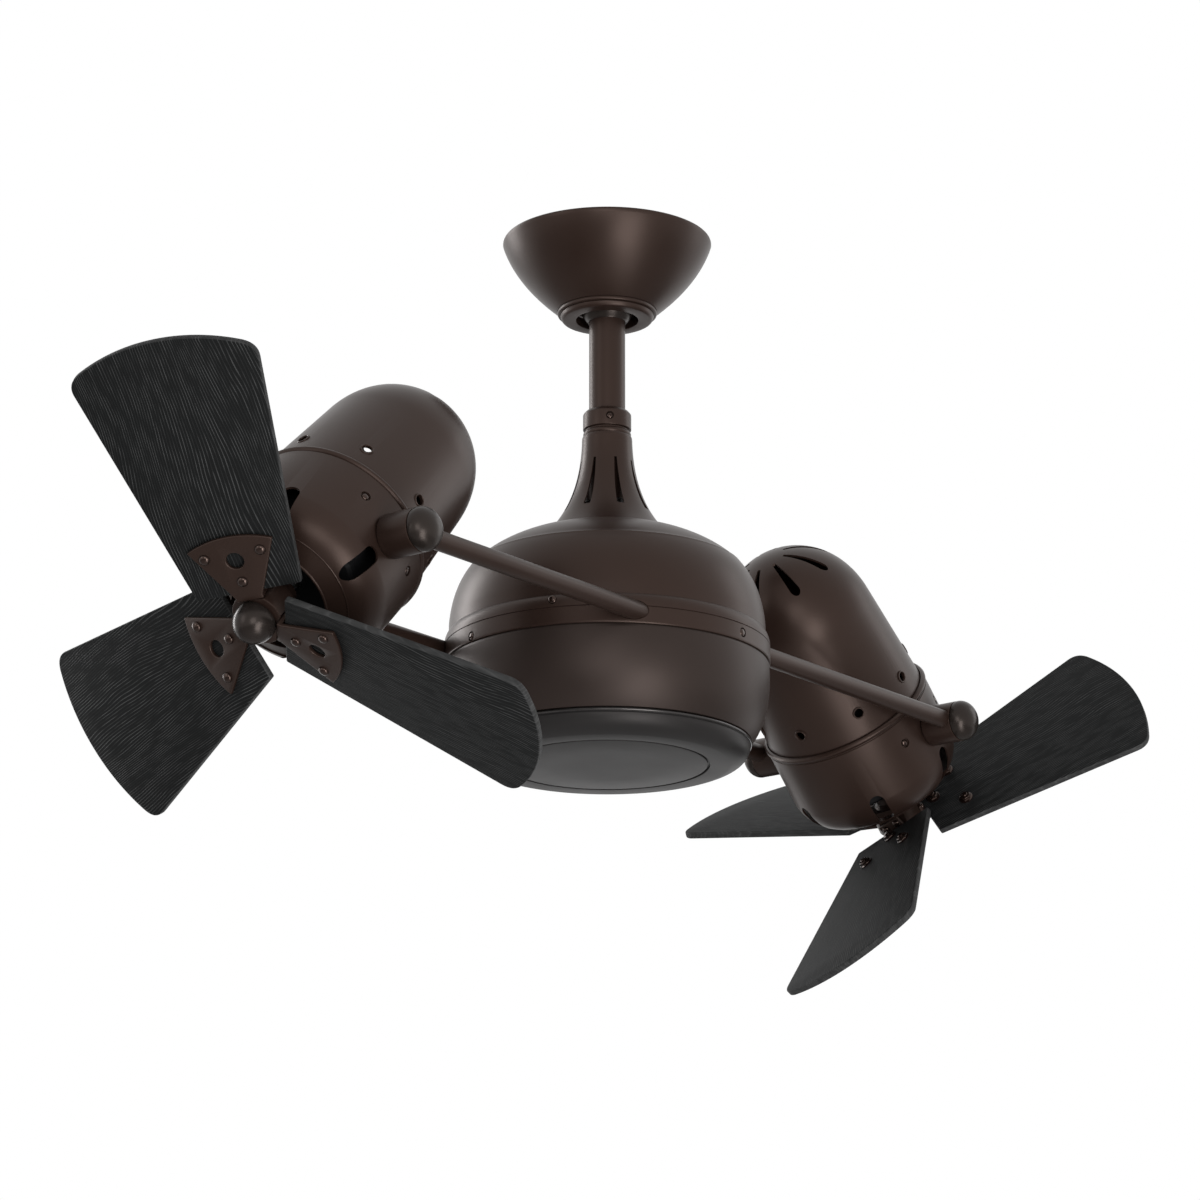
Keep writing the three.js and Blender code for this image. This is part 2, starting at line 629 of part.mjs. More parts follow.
// Pivot bolt: domed head outside the boss, shank through boss and shell, nut inside the shell.
function pivotKnob(x, y) {
  const face = BOSS_END + GAP;
  const insideShell = FRONT.r - SHEET - 2 * RUN;
  const nutEnd = insideShell - KNOB.nutHeight;
  const dome = [];
  for (let i = 0; i <= DOME_STEPS; i++) {
    const angle = (Math.PI / 2) * (i / DOME_STEPS);
    dome.push([BOSS_R * Math.cos(angle), face + KNOB.base + KNOB.dome * Math.sin(angle)]);
  }
  dome[DOME_STEPS][0] = 0;
  const bolt = revolve([
    [0, nutEnd], [KNOB.shankR, nutEnd], [KNOB.shankR, face], [BOSS_R, face], ...dome,
  ], COARSE_FACETS);
  const made = join(bolt, bar(KNOB.nutR, nutEnd, insideShell, HEX_FACETS))
    .rotateX(-Math.PI / 2).translate(PIVOT_X, 0, 0);
  return onArm(made, x, y);
}

// ---------------------------------------------------------------- head shells

const domeCurve = new THREE.CubicBezierCurve(
  new THREE.Vector2(0, HEAD.tip), new THREE.Vector2(HEAD.tipPull, HEAD.tip),
  new THREE.Vector2(HEAD.bendR, HEAD.bendS), new THREE.Vector2(HEAD.domeR, HEAD.domeS),
);

// Bullet shaped rear cover with teardrop air slots round its tip and a ring of round holes.
function rearShell() {
  const dome = domeCurve.getPoints(6).map((p) => [p.x, p.y]);
  const spigotEnd = SHELL_SCREW.s - LUG_WIDTH / 2 - GAP;
  const outside = [...dome, [HEAD.rearR, HEAD.seam], [HEAD.rearR, spigotEnd]];
  const inside = insideOf(outside.slice(1, -1), SHEET);
  const shell = revolve([
    ...outside, [HEAD.rearR - SHEET, spigotEnd], ...inside, [0, HEAD.tip + SHEET],
  ], MEDIUM_FACETS);
  return cut(facing(shell, AIR_SLOT.turn, MEDIUM_FACETS), [
    ...ringOf(AIR_SLOT.count, AIR_SLOT.turn, teardropTool),
    ...ringOf(ROUND_HOLE.count, 0, () => {
      return bar(ROUND_HOLE.r, HEAD.domeR / 2, FRONT.r, HEX_FACETS).rotateY(Math.PI / 2)
        .translate(0, 0, ROUND_HOLE.s);
    }),
  ]);
}

// Cutting wedge of a teardrop slot: narrow near the tip, with a round wide end.
function teardropTool() {
  const { innerR, outerR, innerWidth, outerWidth } = AIR_SLOT;
  const round = outerR - outerWidth / 2;
  return extrude(new THREE.Shape([
    new THREE.Vector2(innerR, -innerWidth / 2),
    ...arcPoints(round, 0, outerWidth / 2, -90, 90, END_STEPS),
    new THREE.Vector2(innerR, innerWidth / 2),
  ]), HEAD.tip - THROUGH, HEAD.domeS);
}

// Front cover: beaded rim, straight side, rounded corner and a coned lip round the mouth.
function frontShell() {
  const { r, bead, beadFlat, beadRise, cornerS, ridgeS, ridgeR, mouthS, mouthR, lip } = FRONT;
  const start = HEAD.seam + GAP;
  const corner = bend([r, cornerS], [FRONT.cornerPullR, FRONT.cornerPullS], [ridgeR, ridgeS], 3);
  const shell = revolve([
    [r + beadRise, start], [r + beadRise, start + beadFlat], [r, start + bead], [r, cornerS],
    ...corner, [mouthR, mouthS], [mouthR, mouthS - lip],
    [ridgeR - SHEET, ridgeS - lip], [r - SHEET, cornerS], [r - SHEET, start],
  ], MEDIUM_FACETS);
  const pivotHole = bar(KNOB.shankR + RUN, -2 * r, 2 * r, COARSE_FACETS).rotateX(Math.PI / 2);
  return cut(facing(shell, OBLONG.turn, MEDIUM_FACETS), [
    pivotHole,
    ...ringOf(OBLONG.count, OBLONG.turn, () => {
      return slotBar(OBLONG.to - OBLONG.from, OBLONG.width, mouthR, 2 * r).rotateY(Math.PI / 2)
        .translate(0, 0, (OBLONG.from + OBLONG.to) / 2);
    }),
  ]);
}

// ---------------------------------------------------------------- motor

// Cup shaped motor frame with a bearing seat behind and four lugs for the shell screws.
function motorFrame() {
  const { r, wall, back, front, chamfer } = MOTOR;
  const bearingSeat = back + MOTOR_BEARING.width + GAP;
  const cup = revolve([
    [SHAFT_HOLE_R, back - BEARING_BOSS.rise], [BEARING_BOSS.r, back - BEARING_BOSS.rise],
    [r - chamfer, back], [r, back + chamfer], [r, front],
    [r - wall, front], [r - wall, bearingSeat], [MOTOR_BEARING.r + GAP, bearingSeat],
    [MOTOR_BEARING.r + GAP, back], [SHAFT_HOLE_R, back],
  ], COARSE_FACETS);
  const reach = (FRONT.r - SHEET) * Math.cos(Math.PI / MEDIUM_FACETS) - GAP;
  const half = LUG_WIDTH / 2;
  const lugs = lugAngles().map((angle) => block(
    [r - wall / 2, -half, SHELL_SCREW.s - half],
    [Math.sqrt(reach ** 2 - half ** 2), half, SHELL_SCREW.s + half],
  ).rotateZ(angle));
  return join(cup, ...lugs);
}

function lugAngles() {
  return [-90, 90].flatMap((side) => [side - SHELL_SCREW.spread, side + SHELL_SCREW.spread])
    .map(THREE.MathUtils.degToRad);
}

// Front cover of the motor, seen through the shell's mouth, with the front bearing's seat.
function motorCover() {
  const { r, front, cover, coverChamfer } = MOTOR;
  const from = front + GAP;
  const face = from + cover;
  const seatEnd = from + BEARING_BOSS.lip;
  const bossEnd = from - BEARING_BOSS.depth;
  return revolve([
    [SHAFT_HOLE_R, seatEnd], [MOTOR_BEARING.r + GAP, seatEnd], [MOTOR_BEARING.r + GAP, bossEnd],
    [BEARING_BOSS.r, bossEnd], [BEARING_BOSS.r, from], [r, from], [r, face - coverChamfer],
    [r - coverChamfer, face], [SHAFT_HOLE_R, face],
  ], COARSE_FACETS);
}

// Wound stator: laminated core with a coil ring at each end.
function stator() {
  const { wall, r } = MOTOR;
  const outerR = r - wall - GAP;
  const { bore, core, coil, coilInset } = STATOR;
  const low = statorCentre - core / 2;
  const high = statorCentre + core / 2;
  return revolve([
    [bore, low], [bore + coilInset, low - coil], [outerR - 2 * coilInset, low - coil],
    [outerR - coilInset, low], [outerR, low], [outerR, high], [outerR - coilInset, high],
    [outerR - 2 * coilInset, high + coil], [bore + coilInset, high + coil], [bore, high],
  ], COARSE_FACETS);
}

const statorCentre = (MOTOR.back + MOTOR.rearWall + MOTOR.front) / 2;

// Rotor with its shaft, which runs forwards to the hub and the nose.
function rotor() {
  const half = STATOR.core / 2 - ROTOR.inset;
  const end = HUB.front + NOSE.socket - NOSE.room;
  return revolve([
    [0, MOTOR.back + GAP], [SHAFT_R, MOTOR.back + GAP], [SHAFT_R, statorCentre - half],
    [ROTOR.r, statorCentre - half], [ROTOR.r, statorCentre + half], [SHAFT_R, statorCentre + half],
    [SHAFT_R, end], [0, end],
  ], COARSE_FACETS);
}

const frontBearing = MOTOR.front + BEARING_BOSS.lip - MOTOR_BEARING.width;

function motorBearing(from) {
  return tube(MOTOR_BEARING.r, SHAFT_R + RUN, from, from + MOTOR_BEARING.width, COARSE_FACETS);
}

// ---------------------------------------------------------------- rotor side of the head

// Three flats for the blade irons on a round hub, with a collar towards the motor.
function hub() {
  const { r, flat, back, front, collarR, collar, taper } = HUB;
  const round = revolve([
    [SHAFT_R + GAP, collar], [collarR, collar], [collarR, back - taper], [collarR + taper, back], [r, back],
    [r, front], [SHAFT_R + GAP, front],
  ], COARSE_FACETS);
  return cut(round, inBladeFrames(() => block([flat, -2 * r, -2 * r], [2 * r, 2 * r, 2 * r])));
}

// Copies of a tool in the frame of each blade: X outwards, Y across the blade, Z off its front.
function inBladeFrames(make) {
  return Array.from({ length: BLADE_COUNT }, (_, i) => place(make(), i));
}

function place(geometry, index) {
  return geometry.rotateX(PITCH).translate(0, 0, BLADE_PLANE)
    .rotateZ((2 * Math.PI * index) / BLADE_COUNT);
}

// Domed nut that closes the hub at the front.
function noseCap() {
  const from = HUB.front + GAP;
  const { r, base, tip, socket } = NOSE;
  const dome = [];
  for (let i = 0; i <= DOME_STEPS; i++) {
    const angle = (Math.PI / 2) * (i / DOME_STEPS);
    dome.push([r * Math.cos(angle), from + base + (tip - from - base) * Math.sin(angle)]);
  }
  dome[DOME_STEPS][0] = 0;
  return revolve([
    [SHAFT_R + GAP, from], [r, from], ...dome, [0, HUB.front + socket], [SHAFT_R + GAP, HUB.front + socket],
  ], COARSE_FACETS);
}

const ironBack = BLADE.thick / 2 + GAP;
const ironFront = ironBack + IRON.thick;

// Fan shaped plate on the blade's front, with a tongue bent down onto the hub's flat.
function bladeIron(index) {
  const { neck, neckHalf, waist, corner, cornerHalf, bulge, tongue, holeAt, holeR } = IRON;
  const shape = new THREE.Shape();
  shape.moveTo(neck, neckHalf);
  shape.lineTo(neck, -neckHalf);
  shape.lineTo(waist, -neckHalf);
  shape.lineTo(corner, -cornerHalf);
  arcTo(shape, [corner, -cornerHalf], [corner, cornerHalf], bulge, 6);
  shape.lineTo(waist, neckHalf);
  shape.holes = [roundPath(holeAt, 0, holeR, SMALL_FACETS)];
  const plate = extrude(shape, ironBack, ironFront);
  const bent = block([neck, -neckHalf, ironFront - tongue], [waist, neckHalf, ironFront]);
  return place(join(plate, bent), index);
}

// Blade: straight tapering sides, an arched tip and rounded tip corners.
function blade(index) {
  const { root, rootHalf, tip, tipHalf, bulge, thick } = BLADE;
  const shape = new THREE.Shape();
  const outline = roundedOutline([
    { at: [root, rootHalf], round: 0 },
    { at: [root, -rootHalf], round: 0 },
    { at: [tip, -tipHalf], round: BLADE_ROUND },
    ...tipArc(tip, tipHalf, bulge),
    { at: [tip, tipHalf], round: BLADE_ROUND },
  ]);
  outline.forEach(([u, v], i) => (i ? shape.lineTo(u, v) : shape.moveTo(u, v)));
  return place(extrude(shape, -thick / 2, thick / 2), index);
}

// Inner points of the tip's arc, which the rounded corners run into.
function tipArc(tip, half, bulge) {
  const r = (half * half + bulge * bulge) / (2 * bulge);
  const centre = tip + bulge - r;
  const limit = Math.asin(half / r);
  const points = [];
  for (let i = 1; i < TIP_STEPS; i++) {
    const angle = -limit + (2 * limit * i) / TIP_STEPS;
    points.push({ at: [centre + r * Math.cos(angle), r * Math.sin(angle)], round: 0 });
  }
  return points;
}

// Polygon with each marked corner replaced by a short bend.
function roundedOutline(corners) {
  return corners.flatMap(({ at, round }, i) => {
    if (!round) return [at];
    const corner = new THREE.Vector2(...at);
    const before = new THREE.Vector2(...corners.at(i - 1).at);
    const after = new THREE.Vector2(...corners[(i + 1) % corners.length].at);
    const start = corner.clone().add(before.sub(corner).setLength(round));
    const end = corner.clone().add(after.sub(corner).setLength(round));
    return new THREE.QuadraticBezierCurve(start, corner, end).getPoints(3).map((p) => [p.x, p.y]);
  });
}

// ---------------------------------------------------------------- assembly

function ceilingSide() {
  const group = new THREE.Group();
  group.add(
    mesh('hanger_bracket', hangerBracket(), steel()),
    mesh('canopy', canopy(), bronze()),
    mesh('canopy_trim_ring', trimRing(), bronze()),
    mesh('hanger_ball', hangerBall(), darkSteel()),
    mesh('ball_cross_pin', crossPin(), steel()),
    mesh('downrod', downrod(), bronze()),
  );
  const low = new THREE.Group();
  low.position.z = -ARM_DROP;
  low.add(
    mesh('coupling_collar', couplingCollar(), bronze()),
    mesh('bell_cover', bellCover(), bronze()),
    mesh('spindle', spindle(), steel()),
    mesh('spindle_nut', spindleNut(), steel()),
    mesh('slip_ring', slipRing(), insulation()),
  );
  group.add(low);
  return group;
}

function turningBody() {
  const group = new THREE.Group();
  group.position.z = -ARM_DROP;
  group.add(
    mesh('upper_dome', upperDome(), bronze()),
    mesh('carrier_ring', carrierRing(), bronze()),
    mesh('lower_bowl', lowerBowl(), bronze()),
    mesh('bottom_plate', bottomPlate(), bronze(0.5)),
    mesh('centre_cap', centreCap(), bronze(0.5)),
    mesh('upper_bearing', bodyBearing(BODY_BEARING.seat), steel()),
    mesh('lower_bearing', bodyBearing(-bearingTop), steel()),
    mesh('brush_block', brushBlock(), insulation()),
  );
  for (const [x, side] of [[-1, 'left'], [1, 'right']]) {
    for (const [y, end] of [[-1, 'front'], [1, 'rear']]) {
      group.add(
        mesh(`${side}_${end}_arm`, arm(x, y), bronze()),
        mesh(`${side}_${end}_pivot_knob`, pivotKnob(x, y), bronze(0.3)),
      );
    }
  }
  return group;
}

// One fan head, built along its own axis and then leaned out from straight down.
function head(name, { side, tilt, clock }) {
  const group = new THREE.Group();
  group.position.set(side * PIVOT_X, 0, -ARM_DROP);
  group.rotation.y = side * THREE.MathUtils.degToRad(180 - tilt);
  group.add(
    mesh(`${name}_rear_shell`, rearShell(), bronze()),
    mesh(`${name}_front_shell`, frontShell(), bronze()),
    mesh(`${name}_motor_frame`, motorFrame(), darkSteel()),
    mesh(`${name}_motor_cover`, motorCover(), darkSteel()),
    mesh(`${name}_stator`, stator(), insulation()),
    mesh(`${name}_rear_bearing`, motorBearing(MOTOR.back + GAP), steel()),
    mesh(`${name}_front_bearing`, motorBearing(frontBearing), steel()),
  );
  const spin = new THREE.Group();
  spin.rotation.z = THREE.MathUtils.degToRad(clock);
  spin.add(
    mesh(`${name}_rotor`, rotor(), steel()),
    mesh(`${name}_hub`, hub(), bronze()),
    mesh(`${name}_nose_cap`, noseCap(), bronze(0.3)),
  );
  for (let i = 0; i < BLADE_COUNT; i++) {
    spin.add(
      mesh(`${name}_blade_iron_${i + 1}`, bladeIron(i), bronze()),
      mesh(`${name}_blade_${i + 1}`, blade(i), blackWood()),
    );
  }
  group.add(spin);
  return group;
}

const fan = new THREE.Group();
fan.add(ceilingSide(), turningBody());
for (const [name, pose] of Object.entries(HEADS)) fan.add(head(name, pose));

export default fan;
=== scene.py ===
# Looks of the twin head ceiling fan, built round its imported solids.
# Sizes are in millimetres, turned into metres as each mesh is made. Heights of the canopy, its
# ring and the ball are from the ceiling. Those of the collar, bell and turning body are above the
# plane of the arms. Stations of a head run forwards from its tilt axis.
import json
import math

import bmesh
import bpy
from mathutils import Matrix, Vector

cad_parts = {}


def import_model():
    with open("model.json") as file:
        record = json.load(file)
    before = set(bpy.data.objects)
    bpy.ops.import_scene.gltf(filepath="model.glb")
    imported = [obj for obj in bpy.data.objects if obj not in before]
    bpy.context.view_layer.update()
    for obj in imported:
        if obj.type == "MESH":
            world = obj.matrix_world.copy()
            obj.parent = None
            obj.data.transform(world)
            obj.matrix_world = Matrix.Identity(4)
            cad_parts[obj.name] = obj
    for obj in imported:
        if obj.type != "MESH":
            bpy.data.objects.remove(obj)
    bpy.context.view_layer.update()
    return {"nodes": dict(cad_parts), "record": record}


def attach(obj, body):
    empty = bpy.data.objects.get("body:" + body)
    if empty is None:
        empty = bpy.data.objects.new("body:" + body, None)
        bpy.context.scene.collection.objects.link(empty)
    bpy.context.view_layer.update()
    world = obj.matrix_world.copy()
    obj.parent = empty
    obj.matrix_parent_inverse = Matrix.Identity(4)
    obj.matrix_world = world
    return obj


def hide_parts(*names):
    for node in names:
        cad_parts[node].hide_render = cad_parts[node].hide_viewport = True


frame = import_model()

MM = 0.001
ARM_PLANE = -309.0
PIVOT_X = 309.7
FAN_CENTRE = Vector((0, 0, -0.31))  # in metres, where the lamps aim
SHEET = 1.6  # sheet metal's thickness
GAP = 0.3  # between neighbours
BEYOND = 3.0  # how far a drill runs past the surface

# facets round a turned piece
ROUND = 128
BALL_ROUND = 64
SMALL_ROUND = 32

# ceiling side
CANOPY_R = 75.5
CANOPY_DEPTH = 52.5
CANOPY_NECK_R = 36.0
CANOPY_BORE_R = 25.0
CANOPY_BELLY = (66.8, -27.6)
CANOPY_EDGE = 1.6
TRIM_HOLE_R = 22.4
TRIM_DEPTH = 6.5
ROD_R = 13.0
ROD_WALL = 2.5
ROD_BOTTOM = 140.0
BALL_R = 26.0
BALL_DROP = 29.5
BALL_HALF_HEIGHT = 17.0
COLLAR_R = 17.3
COLLAR_TOP = 180.0
COLLAR_BOTTOM = 166.0
COLLAR_SCREW = (-135, 172.5)  # direction in degrees and height
BELL_FOOT = (42.9, 88.1)
BELL_NECK = (18.0, 158.0)
BELL_SLOT = [(-2.4, 103), (2.4, 103), (2.7, 104), (0.9, 141), (-0.9, 141), (-2.7, 104)]
BELL_SLOTS = 8
BELL_SLOT_TURN = -79

# turning body
ARM_R = 6.75
ARM_OFFSET = 84.5
ARM_INNER = 50.0
BOSS_R = 15.0
BOSS_END = 91.3
BELT_R = 115.3
BELT_TOP = 12.6
BELT_BOTTOM = -9.0
BELT_SEAM = 3.2
BELT_LEDGE_R = 110.4
BELT_SCREWS = [(163.4, -5.5), (-161.0, 9.0), (-87.1, -2.8)]  # direction in degrees and height
SCREW_SINK = 1.3
HUB_BORE_R = 11.2
DOME_SIDE_R = 112.0
DOME_SPIGOT_R = 111.0
BOWL_BOTTOM = -64.5
PAN_FACE = -81.0
DISC_R = 70.6

# heads
FRONT_R = 65.8
REAR_R = 63.4
REAR_TIP = -166.5
REAR_COLLAR = -12.3
SEAM = -29.0
VENTS = 8
VENT_TURN = -94
PUNCHED_HOLES = 8
PUNCHED_R = 3.6
PUNCHED_STATION = -46
SIDE_SLOTS = 6
SIDE_SLOT = {"length": 28, "width": 12, "station": 32.6, "turn": -88.5}
SHELL_SCREW = {"step": 26.5, "station": -6, "floor": 64.3}
PIVOT_BOLT_R = 4.0

# blades
BLADE_PLANE = 73.7
PITCH = math.radians(17.1)
BLADE_THICK = 5.0
IRON_BACK = BLADE_THICK / 2 + GAP
IRON_THICK = 3.0
IRON_HALF = 9.5
IRON_HOLE = (45.1, 5.8)
BLADE_SCREWS = [(29.8, 0.0), (50.1, 19.3), (50.1, -19.3)]

# side along X, tilt from straight down and the blades' turn, in degrees
HEADS = {"left": (-1, 43.8, -10.8), "right": (1, 45.7, -12.3)}


# ---------------------------------------------------------------- materials

def node_tree(name):
    material = bpy.data.materials.new(name)
    material.use_nodes = True
    tree = material.node_tree
    shader = tree.nodes["Principled BSDF"]
    return material, tree, shader


def link(tree, source, out, target, into):
    tree.links.new(source.outputs[out], target.inputs[into])


def texture(tree, kind, source, **values):
    node = tree.nodes.new(kind)
    for key, value in values.items():
        node.inputs[key].default_value = value
    link(tree, source[0], source[1], node, "Vector")
    return node


def math_node(tree, operation, a, b=None):
    """Maths node; an input is a number or a (node, output) pair."""
    node = tree.nodes.new("ShaderNodeMath")
    node.operation = operation
    for i, value in enumerate((a, b)):
        if value is None:
            continue
        if isinstance(value, tuple):
            tree.links.new(value[0].outputs[value[1]], node.inputs[i])
        else:
            node.inputs[i].default_value = value
    return node


def map_range(tree, source, low, high, to_low, to_high):
    node = tree.nodes.new("ShaderNodeMapRange")
    tree.links.new(source[0].outputs[source[1]], node.inputs["Value"])
    keys = ("From Min", "From Max", "To Min", "To Max")
    for key, value in zip(keys, (low, high, to_low, to_high)):
        node.inputs[key].default_value = value
    return node


def mix_colour(tree, factor, a, b):
    node = tree.nodes.new("ShaderNodeMix")
    node.data_type = "RGBA"
    tree.links.new(factor[0].outputs[factor[1]], node.inputs["Factor"])
    node.inputs["A"].default_value = (*a, 1)
    node.inputs["B"].default_value = (*b, 1)
    return node


def add_bump(tree, shader, height, strength, distance):
    bump = tree.nodes.new("ShaderNodeBump")
    bump.inputs["Strength"].default_value = strength
    bump.inputs["Distance"].default_value = distance
    tree.links.new(height[0].outputs[height[1]], bump.inputs["Height"])
    link(tree, bump, "Normal", shader, "Normal")


# material sizes are in metres
NOISE_MIDDLE = (0.3, 0.7)
CLOUD_SCALE = 14.0
POWDER_SCALE = 1600.0
POWDER_DEPTH = 0.00005
GLOSS_SPREAD = 0.03


def coated_metal(name, dark, light, roughness, specular=0.3, tint=(1, 1, 1), grain=0.35):
    """Satin coating over metal: faint mottling, fine powder texture and slightly uneven gloss."""
    material, tree, shader = node_tree(name)
    place = tree.nodes.new("ShaderNodeTexCoord")
    cloud = texture(tree, "ShaderNodeTexNoise", (place, "Object"), Scale=CLOUD_SCALE, Detail=3.0)
    powder = texture(tree, "ShaderNodeTexNoise", (place, "Object"), Scale=POWDER_SCALE, Detail=2.0)
    tone = map_range(tree, (cloud, "Fac"), *NOISE_MIDDLE, 0.0, 1.0)
    colour = mix_colour(tree, (tone, "Result"), dark, light)
    link(tree, colour, "Result", shader, "Base Color")
    rough = (roughness - GLOSS_SPREAD, roughness + GLOSS_SPREAD)
    gloss = map_range(tree, (cloud, "Fac"), *NOISE_MIDDLE, *rough)
    link(tree, gloss, "Result", shader, "Roughness")
    add_bump(tree, shader, (powder, "Fac"), grain, POWDER_DEPTH)
    shader.inputs["Specular IOR Level"].default_value = specular
    shader.inputs["Specular Tint"].default_value = (*tint, 1)
    return material


TOOL_MARK_SCALE = 420.0
TOOL_MARK_SPREAD = 0.06
TOOL_MARK_DARK = 0.8


def plain_metal(name, colour, roughness, metallic=1.0):
    """Turned or cast metal with fine tool marks."""
    material, tree, shader = node_tree(name)
    place = tree.nodes.new("ShaderNodeTexCoord")
    marks = texture(tree, "ShaderNodeTexNoise", (place, "Object"), Scale=TOOL_MARK_SCALE, Detail=4.0)
    tone = map_range(tree, (marks, "Fac"), *NOISE_MIDDLE, 0.0, 1.0)
    shade = mix_colour(tree, (tone, "Result"), [TOOL_MARK_DARK * c for c in colour], colour)
    link(tree, shade, "Result", shader, "Base Color")
    rough = (roughness - TOOL_MARK_SPREAD, roughness + TOOL_MARK_SPREAD)
    gloss = map_range(tree, (marks, "Fac"), *NOISE_MIDDLE, *rough)
    link(tree, gloss, "Result", shader, "Roughness")
    add_bump(tree, shader, (marks, "Fac"), 0.2, 0.0001)
    shader.inputs["Metallic"].default_value = metallic
    return material


WOOD_FACE = BLADE_THICK / 2 * MM
WOOD_EDGE = (0.00035, 0.00010)  # depths under the face between which the lighter grey of the blade's sides fades out
WOOD_DARK = (0.0078, 0.0082, 0.0083)
WOOD_LINE = (0.062, 0.063, 0.063)
# lighter grey for the blade's sides, laid on in patches
WOOD_SIDE_GREY = (0.06, 0.06, 0.06)
LINES_PER_METRE = 520.0
BROAD_BEND = 34.0
SMALL_BEND = 3.0
LINE_RISE = (0.66, 0.86)
LINE_FALL = (0.9, 1.0)
LINE_BREAKS = (0.38, 0.62)
FAINTEST_LINE = 0.15
PIECE_SHIFT = 9.0  # moves each blade to its own part of the noise


def black_wood(name):
    """Black stained wood with raised grain lines that wander along the blade and loop into figures."""
    material, tree, shader = node_tree(name)
    place = tree.nodes.new("ShaderNodeTexCoord")
    info = tree.nodes.new("ShaderNodeObjectInfo")
    shift = tree.nodes.new("ShaderNodeVectorMath")
    shift.operation = "ADD"
    link(tree, place, "Object", shift, 0)
    apart = tree.nodes.new("ShaderNodeCombineXYZ")
    offset = math_node(tree, "MULTIPLY", (info, "Random"), PIECE_SHIFT)
    link(tree, offset, "Value", apart, "X")
    link(tree, offset, "Value", apart, "Z")
    link(tree, apart, "Vector", shift, 1)

    def stretched(scale, along, across):
        mapping = tree.nodes.new("ShaderNodeMapping")
        mapping.inputs["Scale"].default_value = (along, across, across)
        link(tree, shift, "Vector", mapping, "Vector")
        return texture(tree, "ShaderNodeTexNoise", (mapping, "Vector"), Scale=scale, Detail=1.5)

    broad = stretched(9.0, 0.5, 1.0)
    wander = stretched(45.0, 0.35, 1.0)
    breaks = stretched(260.0, 0.22, 1.0)
    axes = tree.nodes.new("ShaderNodeSeparateXYZ")
    link(tree, place, "Object", axes, "Vector")
    across = math_node(tree, "MULTIPLY", (axes, "Y"), LINES_PER_METRE)
    bent = math_node(tree, "MULTIPLY", (broad, "Fac"), BROAD_BEND)
    waved = math_node(tree, "MULTIPLY", (wander, "Fac"), SMALL_BEND)
    total = math_node(tree, "ADD", (across, "Value"), (bent, "Value"))
    total = math_node(tree, "ADD", (total, "Value"), (waved, "Value"))
    phase = math_node(tree, "FRACT", (total, "Value"))
    ridge = map_range(tree, (phase, "Value"), *LINE_RISE, 0.0, 1.0)
    fall = map_range(tree, (phase, "Value"), *LINE_FALL, 1.0, 0.0)
    line = math_node(tree, "MINIMUM", (ridge, "Result"), (fall, "Result"))
    strength = map_range(tree, (breaks, "Fac"), *LINE_BREAKS, FAINTEST_LINE, 1.0)
    line = math_node(tree, "MULTIPLY", (line, "Value"), (strength, "Result"))
    face = mix_colour(tree, (line, "Value"), WOOD_DARK, WOOD_LINE)
    depth = math_node(tree, "ABSOLUTE", (axes, "Z"))
    # the blade's sides get a lighter grey in patches, fading out towards the faces
    edge = [WOOD_FACE - width for width in WOOD_EDGE]
    rim = map_range(tree, (depth, "Value"), *edge, 1.0, 0.0)
    grey_sides = math_node(tree, "MULTIPLY", (rim, "Result"), (breaks, "Fac"))
    colour = mix_colour(tree, (grey_sides, "Value"), (0, 0, 0), WOOD_SIDE_GREY)
    link(tree, face, "Result", colour, "A")
    link(tree, colour, "Result", shader, "Base Color")
    add_bump(tree, shader, (line, "Value"), 0.6, 0.0003)
    shader.inputs["Roughness"].default_value = 0.55
    shader.inputs["Specular IOR Level"].default_value = 0.08
    return material


CHARCOAL_TONES = ((0.0150, 0.0140, 0.0138), (0.0170, 0.0160, 0.0158))
CHARCOAL_SHEEN = (1.0, 0.93, 0.91)

BRONZE = coated_metal("bronze", (0.0165, 0.0094, 0.0072), (0.0190, 0.0109, 0.0085),
                      roughness=0.36, specular=0.3, tint=(1.0, 0.76, 0.67))
SATIN = coated_metal("satin_bronze", (0.012, 0.0095, 0.0085), (0.0145, 0.0115, 0.0100),
                     roughness=0.27, specular=0.26, tint=(1.0, 0.84, 0.77), grain=0.1)
BOWL = coated_metal("bowl_bronze", (0.0165, 0.0118, 0.0102), (0.0190, 0.0135, 0.0118),
                    roughness=0.42, specular=0.27, tint=(1.0, 0.80, 0.73))
CHARCOAL = coated_metal("charcoal", *CHARCOAL_TONES, roughness=0.40, specular=0.18,
                        tint=CHARCOAL_SHEEN)
RIM = coated_metal("polished_rim", *CHARCOAL_TONES, roughness=0.20, specular=0.5,
                   tint=CHARCOAL_SHEEN, grain=0.0)
DARK_SCREW = coated_metal("dark_screw", (0.006, 0.0032, 0.0026), (0.009, 0.005, 0.004),
                          roughness=0.07, specular=0.55, tint=(1.0, 0.72, 0.62), grain=0.0)
WOOD = black_wood("black_wood")
STEEL = plain_metal("steel", (0.55, 0.55, 0.54), 0.32)
CASTING = coated_metal("casting", (0.007, 0.007, 0.0075), (0.010, 0.010, 0.0105),
                       roughness=0.6, specular=0.08)
LAMINATION = plain_metal("lamination", (0.10, 0.055, 0.03), 0.45, 0.8)
PLASTIC = coated_metal("plastic", (0.03, 0.03, 0.03), (0.035, 0.035, 0.035), roughness=0.55)
SLOTS = {
    "bronze": BRONZE, "satin_bronze": SATIN, "charcoal": CHARCOAL, "blade_wood": WOOD,
    "steel": STEEL, "motor_casting": CASTING, "lamination": LAMINATION, "insulation": PLASTIC,
}


# ---------------------------------------------------------------- meshes

